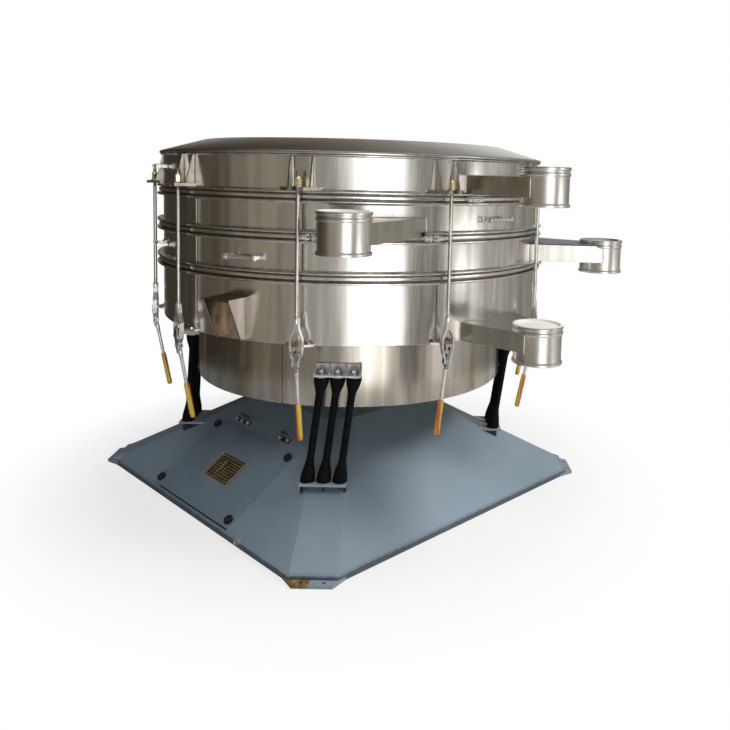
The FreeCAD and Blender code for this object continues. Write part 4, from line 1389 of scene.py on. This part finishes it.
# %% Tension rod and brass nut
rod_end_r, rod_foot, thread_from, thread_to, rod_tip = 8.0, 880, 1375, 1459, 1462
washer_low, washer_high = 1402.9, 1406.8
nut_neck_low, nut_neck_high = 1433, 1441.8
rod_parts = [lathe(rounded([(0, rod_foot), (rod_end_r, rod_foot), (rod_end_r, thread_from),
                            (0, thread_from)], 1), 28),
             thread(rod_end_r, thread_from, thread_to, 2.5, 28),
             lathe([(0, thread_to), (7.2, thread_to), (6.2, rod_tip), (0, rod_tip)], 28),
             lathe(rounded([(8.2, washer_low), (17, washer_low), (17, washer_high), (8.2, washer_high)],
                           0.8), 36)]
rod = placed(joined(rod_parts), Matrix.Translation((link_r, 0, 0)))
neck = lathe(rounded([(8.1, nut_neck_low), (11.5, nut_neck_low), (11.5, nut_neck_high),
                      (8.1, nut_neck_high)], 1), 32)
brass_nut = joined([placed(hexagon_nut(24.0, 27.0), Matrix.Translation((link_r, 0, washer_high))),
                    placed(neck, Matrix.Translation((link_r, 0, 0)))])
print("rod", rod_tip - rod_foot, "mm long,", len(rod[1]), "faces")

# %% [markdown]
# A lever is a plate with two eyes, one for each pin, and a round shank that leans out of the
# plate's foot. A thick plastic grip is pushed over the shank. The grip is drawn standing up Z and
# turned down along the shank, so its streaks follow it.

# %% Lever and grip
eye = rounded([(pivot_r - 11, pivot_z + 6), (pivot_r - 5, pivot_z + 10), (pivot_r + 5, pivot_z + 10),
               (pivot_r + 11, pivot_z + 5), (pivot_r + 10, pivot_z - 10), (link_r + 11, link_z),
               (link_r + 7, link_z - 34), (link_r - 11, link_z - 34), (link_r - 11, link_z),
               (pivot_r - 10, pivot_z - 10)], 5, 4)
lean = math.radians(11.0)
down = Vector((-math.sin(lean), 0, -math.cos(lean)))
shank_start = Vector((link_r - 5, 0, link_z - 20))
shank = lathe(rounded([(0, 0), (8.8, 0), (8.8, 24), (7.2, 42), (7.2, 160), (0, 160)], 3), 28)
pin_outline = [(0, -17), (9, -17), (9, -14), (7, -13.5), (7, 13.5), (9, 14), (9, 17), (0, 17)]
pin = along(lathe(rounded(pin_outline, 0.8), 28), (link_r, 0, link_z), (0, 1, 0))
lever_plate = joined([side_prism(eye, 12.0), pin])
lever_part = along(shank, shank_start, down)
grip_start, grip_length = 150.0, 156.0
grip_frame = Matrix.Translation(shank_start + down * grip_start) @ Matrix.Rotation(math.pi + lean, 4, "Y")
grip_outline = [(5.8, 0), (10.4, 0), (11.5, 14), (11.2, 80), (11.5, 140), (10.2, grip_length),
                (0, grip_length)]
grip = lathe(rounded(grip_outline, 4, 4), 40)
print("grip", grip_length, "mm long")

# %% [markdown]
# Each clamp rides on two bodies of the CAD's joints: rod, yoke and nut on the rod's, and lever, plate and
# grip on the lever's.

# %% Clamps
rod_steel = plain("rod_steel", (0.46, 0.45, 0.42), (0.66, 0.65, 0.61), rough=0.27, metallic=1.0,
                  scale=40.0, depth=0.08)
dark_zinc = plain("dark_zinc", (0.20, 0.20, 0.20), (0.42, 0.42, 0.42), rough=0.32, metallic=1.0, scale=40.0)
for number, angle in enumerate(clamp_angles, 1):
    here = facing(angle)
    rod_body, lever_body = "rod_%d" % number, "lever_%d" % number
    tension = piece("tension_rod_%d_shown" % number, rod, rod_steel, rod_body, here)
    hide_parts("tension_rod_%d" % number)
    piece("yoke_%d" % number, yoke, bright_plate, rod_body, here, bevel=1.0)
    piece("brass_nut_%d" % number, brass_nut, brass, rod_body, here, crease=25)
    handle = piece("lever_%d_shown" % number, lever_part, bright_plate, lever_body, here,
                   bevel=0.8)
    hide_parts("clamp_lever_%d" % number)
    piece("lever_plate_%d" % number, lever_plate, dark_zinc, lever_body, here, bevel=1.0)
    piece("grip_%d" % number, grip, grip_plastic, lever_body, here @ grip_frame)
print("clamps", len(clamp_angles))

# %% [markdown]
# The sieve stands in a workshop, and most of what its steel shows is that room: a dim brown side, a
# bright window and a grey side. An image of a room isn't used. The sky that reflections see is a
# band of tones by compass direction instead, so the first step is to find that direction.

# %% Compass of the surroundings
world = bpy.data.worlds.new("workshop")
bpy.context.scene.world = world
world.use_nodes = True
sky = world.node_tree
sky.nodes.clear()
where = add_node(sky, "ShaderNodeTexCoord")
axes = add_node(sky, "ShaderNodeSeparateXYZ", {"Vector": where.outputs["Generated"]})
minus_y = add_node(sky, "ShaderNodeMath", {0: axes.outputs["Y"], 1: -1.0}, operation="MULTIPLY")
compass = add_node(sky, "ShaderNodeMath", {0: axes.outputs["X"], 1: minus_y.outputs[0]},
                   operation="ARCTAN2")
compass_share = spread(sky, compass.outputs[0], 0.0, 1.0, -math.pi, math.pi)
print("nodes of the compass", len(sky.nodes))

# %% [markdown]
# A list of degrees, levels and warmths is easy to read against the machine: each upright stripe of
# the steel answers to one line. A ramp holds colours up to 1, so the levels are divided by one
# brightness here and multiplied by it again at the end.

# %% Tones by compass direction
brightness = 3.2


def tone(level, warmth=0.0):
    level = level / brightness
    return (min(1.0, level * (1 + 0.25 * warmth)), level, level * (1 - 0.45 * warmth))


def by_compass(stops):
    """Ramp from (degrees, level, warmth), where 0 looks along -Y and 90 along +X."""
    return ramp(sky, compass_share, [((degrees + 180) / 360, tone(level, warmth))
                                     for degrees, level, warmth in stops])


low_sky = by_compass([(-180, 0.30, 0.1), (-150, 0.20, 0.4), (-100, 0.055, 0.7), (-72, 0.035, 0.4),
                      (-57, 0.06, 0.6), (-36, 0.085, 0.7), (-24, 0.12, 0.6), (-17, 0.27, 0.4),
                      (-2, 0.22, 0.5), (12, 0.30, 0.4), (20, 0.26, 0.4), (27, 0.42, 0.2),
                      (40, 0.38, 0.2), (48, 0.9, 0.1), (55, 3.0, 0.05), (74, 3.0, 0.05),
                      (79, 0.60, 0.1), (84, 0.15, 0.2), (102, 0.26, 0.2), (109, 1.1, 0.1),
                      (124, 1.1, 0.1), (130, 0.50, 0.2), (142, 0.58, 0.15), (152, 0.34, 0.2),
                      (168, 0.30, 0.2), (180, 0.26, 0.1)])
high_sky = by_compass([(-180, 0.40, 0.0), (-150, 0.36, 0.0), (-142, 0.21, 0.0), (-137, 0.215, 0.2),
                       (-133, 0.16, 0.4), (-128, 0.095, 0.5), (-118, 0.045, 0.7), (-100, 0.035, 0.8),
                       (-30, 0.06, 0.8), (30, 0.12, 0.6), (85, 0.25, 0.2), (140, 0.40, 0.0),
                       (180, 0.40, 0.0)])
print("tones of the room at", tone(0.30, 0.4))

# %% [markdown]
# The walls of the shells mirror the low sky and the cone of the lid the high one, so the two are
# blended by height. Two soft round patches add what a stripe can't: grey behind the machine, and
# a small bright one for the spouts. The roof straight above is a plain dim tone.

# %% Heights and patches
def by_height(low, high, smooth=True):
    """Share that rises from 0 to 1 between two heights of the view direction."""
    kind = "SMOOTHSTEP" if smooth else "LINEAR"
    return add_node(sky, "ShaderNodeMapRange", {"Value": axes.outputs["Z"], "From Min": low,
                                                "From Max": high}, interpolation_type=kind).outputs[0]


def round_patch(under, direction, rim, core, colour, limit=1.0):
    """A soft round patch of another tone, from the cosines of its rim and its core."""
    middle = Vector(direction).normalized()
    toward = add_node(sky, "ShaderNodeVectorMath", {0: where.outputs["Generated"], 1: middle},
                      operation="DOT_PRODUCT")
    amount = add_node(sky, "ShaderNodeMapRange", {"Value": toward.outputs["Value"], "From Min": rim,
                                                  "From Max": core}, interpolation_type="SMOOTHSTEP")
    there = add_node(sky, "ShaderNodeMath", {0: amount.outputs[0], 1: limit}, operation="MULTIPLY")
    return blended(sky, there.outputs[0], under, colour)


walls = blended(sky, by_height(0.18, 0.30), low_sky, high_sky)
above = by_height(0.0, 0.06)
seen = round_patch(walls, (-0.70, 0.71, 0.12), 0.92, 0.985, (0.30, 0.30, 0.29, 1), above)
seen = round_patch(seen, (0.883, 0.469, 0.13), 0.981, 0.991, (1.0, 0.99, 0.96, 1))
seen = blended(sky, by_height(0.75, 0.95, smooth=False), seen, (0.16, 0.17, 0.18, 1))
print("nodes of the room", len(sky.nodes))

# %% [markdown]
# The room is only for reflections. All other light from outside is a faint even sky, so that the
# lamps decide the shading, and the camera itself sees white paper.

# %% What each ray sees
mirrored = add_node(sky, "ShaderNodeBackground", {"Color": seen, "Strength": brightness})
open_sky = add_node(sky, "ShaderNodeBackground", {"Color": (0.94, 0.97, 1.0, 1), "Strength": 0.11})
paper = add_node(sky, "ShaderNodeBackground", {"Color": (1, 1, 1, 1), "Strength": 1.0})
ray = add_node(sky, "ShaderNodeLightPath")
soft = add_node(sky, "ShaderNodeMixShader", {0: ray.outputs["Is Glossy Ray"], 1: open_sky.outputs[0],
                                             2: mirrored.outputs[0]})
whole = add_node(sky, "ShaderNodeMixShader", {0: ray.outputs["Is Camera Ray"], 1: soft.outputs[0],
                                              2: paper.outputs[0]})
add_node(sky, "ShaderNodeOutputWorld", {"Surface": whole.outputs[0]})
print("nodes of the world", len(sky.nodes))

# %% [markdown]
# The main soft lamp stands on the +X side, where the base is lighter; weak ones fill the rest.
# Large discs give soft shadows. They are hidden from reflections, because the room already holds
# what the steel should mirror.

# %% Lamps
def lamp(name, place, aim, size, power, colour=(1.0, 1.0, 1.0)):
    data = bpy.data.lights.new(name, "AREA")
    data.color = colour
    data.shape = "DISK"
    data.size = size
    data.energy = power
    obj = bpy.data.objects.new(name, data)
    bpy.context.collection.objects.link(obj)
    obj.location = place
    obj.rotation_euler = (Vector(aim) - Vector(place)).to_track_quat("-Z", "Y").to_euler()
    obj.visible_glossy = False


lamp("side_lamp", (3.3, 2.6, 4.6), aim=(0.3, 0.0, 0.3), size=2.2, power=220, colour=(1.0, 0.96, 0.92))
lamp("front_lamp", (2.0, -2.3, 4.9), aim=(0.0, -0.3, 0.4), size=2.0, power=50)
lamp("low_lamp", (3.4, -3.0, 0.8), aim=(0.2, -0.3, 0.6), size=1.6, power=20)
lamp("top_lamp", (0.6, 0.6, 5.2), aim=(0.0, 0.0, 0.5), size=3.0, power=24)
print("lamps", len(bpy.data.lights))

# %% [markdown]
# The floor is a pale matt sheet. The camera sees it nearly white, with a trace of the machine's
# shadow close to the base: a glowing white is mixed over the matt one, fully further out and less
# near the middle, so the edge of the sheet can't be seen.

# %% Finish of the floor
floor_material = bpy.data.materials.new("floor")
floor_material.use_nodes = True
floor_tree = floor_material.node_tree
floor_surface = floor_tree.nodes["Principled BSDF"]
floor_colour = ramp(floor_tree, noise(floor_tree, 1.2),
                    [(0.3, (0.80, 0.80, 0.79)), (0.7, (0.84, 0.84, 0.83))])
floor_tree.links.new(floor_colour, floor_surface.inputs["Base Color"])
floor_surface.inputs["Roughness"].default_value = 0.9
floor_white = add_node(floor_tree, "ShaderNodeEmission", {"Color": (1, 1, 1, 1), "Strength": 1.0})
floor_ray = add_node(floor_tree, "ShaderNodeLightPath")
floor_place = add_node(floor_tree, "ShaderNodeTexCoord").outputs["Object"]
from_centre = add_node(floor_tree, "ShaderNodeVectorMath", {0: floor_place}, operation="LENGTH")
whiteness = add_node(floor_tree, "ShaderNodeMapRange", {"Value": from_centre.outputs["Value"],
                                                        "From Min": 0.9, "From Max": 1.7, "To Min": 0.72,
                                                        "To Max": 1.0}, interpolation_type="SMOOTHSTEP")
white_share = add_node(floor_tree, "ShaderNodeMath", {0: floor_ray.outputs["Is Camera Ray"],
                                                      1: whiteness.outputs[0]}, operation="MULTIPLY")
floor_mix = add_node(floor_tree, "ShaderNodeMixShader",
                     {0: white_share.outputs[0], 1: floor_surface.outputs[0], 2: floor_white.outputs[0]})
floor_tree.links.new(floor_mix.outputs[0], floor_tree.nodes["Material Output"].inputs["Surface"])
print("nodes of the floor", len(floor_tree.nodes))

# %% [markdown]
# The sheet itself is a round disc a little below the feet of the base, turned on the same lathe. It
# is part of the stage and not of the machine.

# %% Floor
floor_r = 2300.0
floor_part = lathe(rounded([(0, -12), (floor_r, -12), (floor_r, -2), (0, -2)], 4), 128)
floor_mesh = bpy.data.meshes.new("floor")
floor_mesh.from_pydata([v * mm for v in floor_part[0]], [], floor_part[1])
floor_mesh.materials.append(floor_material)
floor_piece = bpy.data.objects.new("floor", floor_mesh)
bpy.context.collection.objects.link(floor_piece)
print("floor", 2 * floor_r, "mm across")

# %% [markdown]
# The camera stands at about eye height, a little below the lid. Its place and direction come from
# fitting the outlines of the machine, and the lens is shifted to set the machine in the picture
# instead of turning the camera away from it.

# %% Camera
eye_place = Vector((2.7967, -2.3168, 1.4576))
forward = Vector((-0.69691, 0.71107, -0.09322))
rightward = Vector((0.71226, 0.70145, 0.02576))
upward = Vector((-0.08371, 0.04844, 0.99531))
camera_data = bpy.data.cameras.new("photo_camera")
camera = bpy.data.objects.new("photo_camera", camera_data)
bpy.context.collection.objects.link(camera)
camera.matrix_world = Matrix(((rightward.x, upward.x, -forward.x, eye_place.x),
                              (rightward.y, upward.y, -forward.y, eye_place.y),
                              (rightward.z, upward.z, -forward.z, eye_place.z), (0, 0, 0, 1)))
camera_data.sensor_width = 36.0
camera_data.lens = 36.236
camera_data.shift_x = -0.07668
camera_data.shift_y = -0.16559
camera_data.clip_end = 60.0
bpy.context.scene.camera = camera
bpy.context.scene.view_settings.view_transform = "Standard"
print("lens", camera_data.lens, "mm")
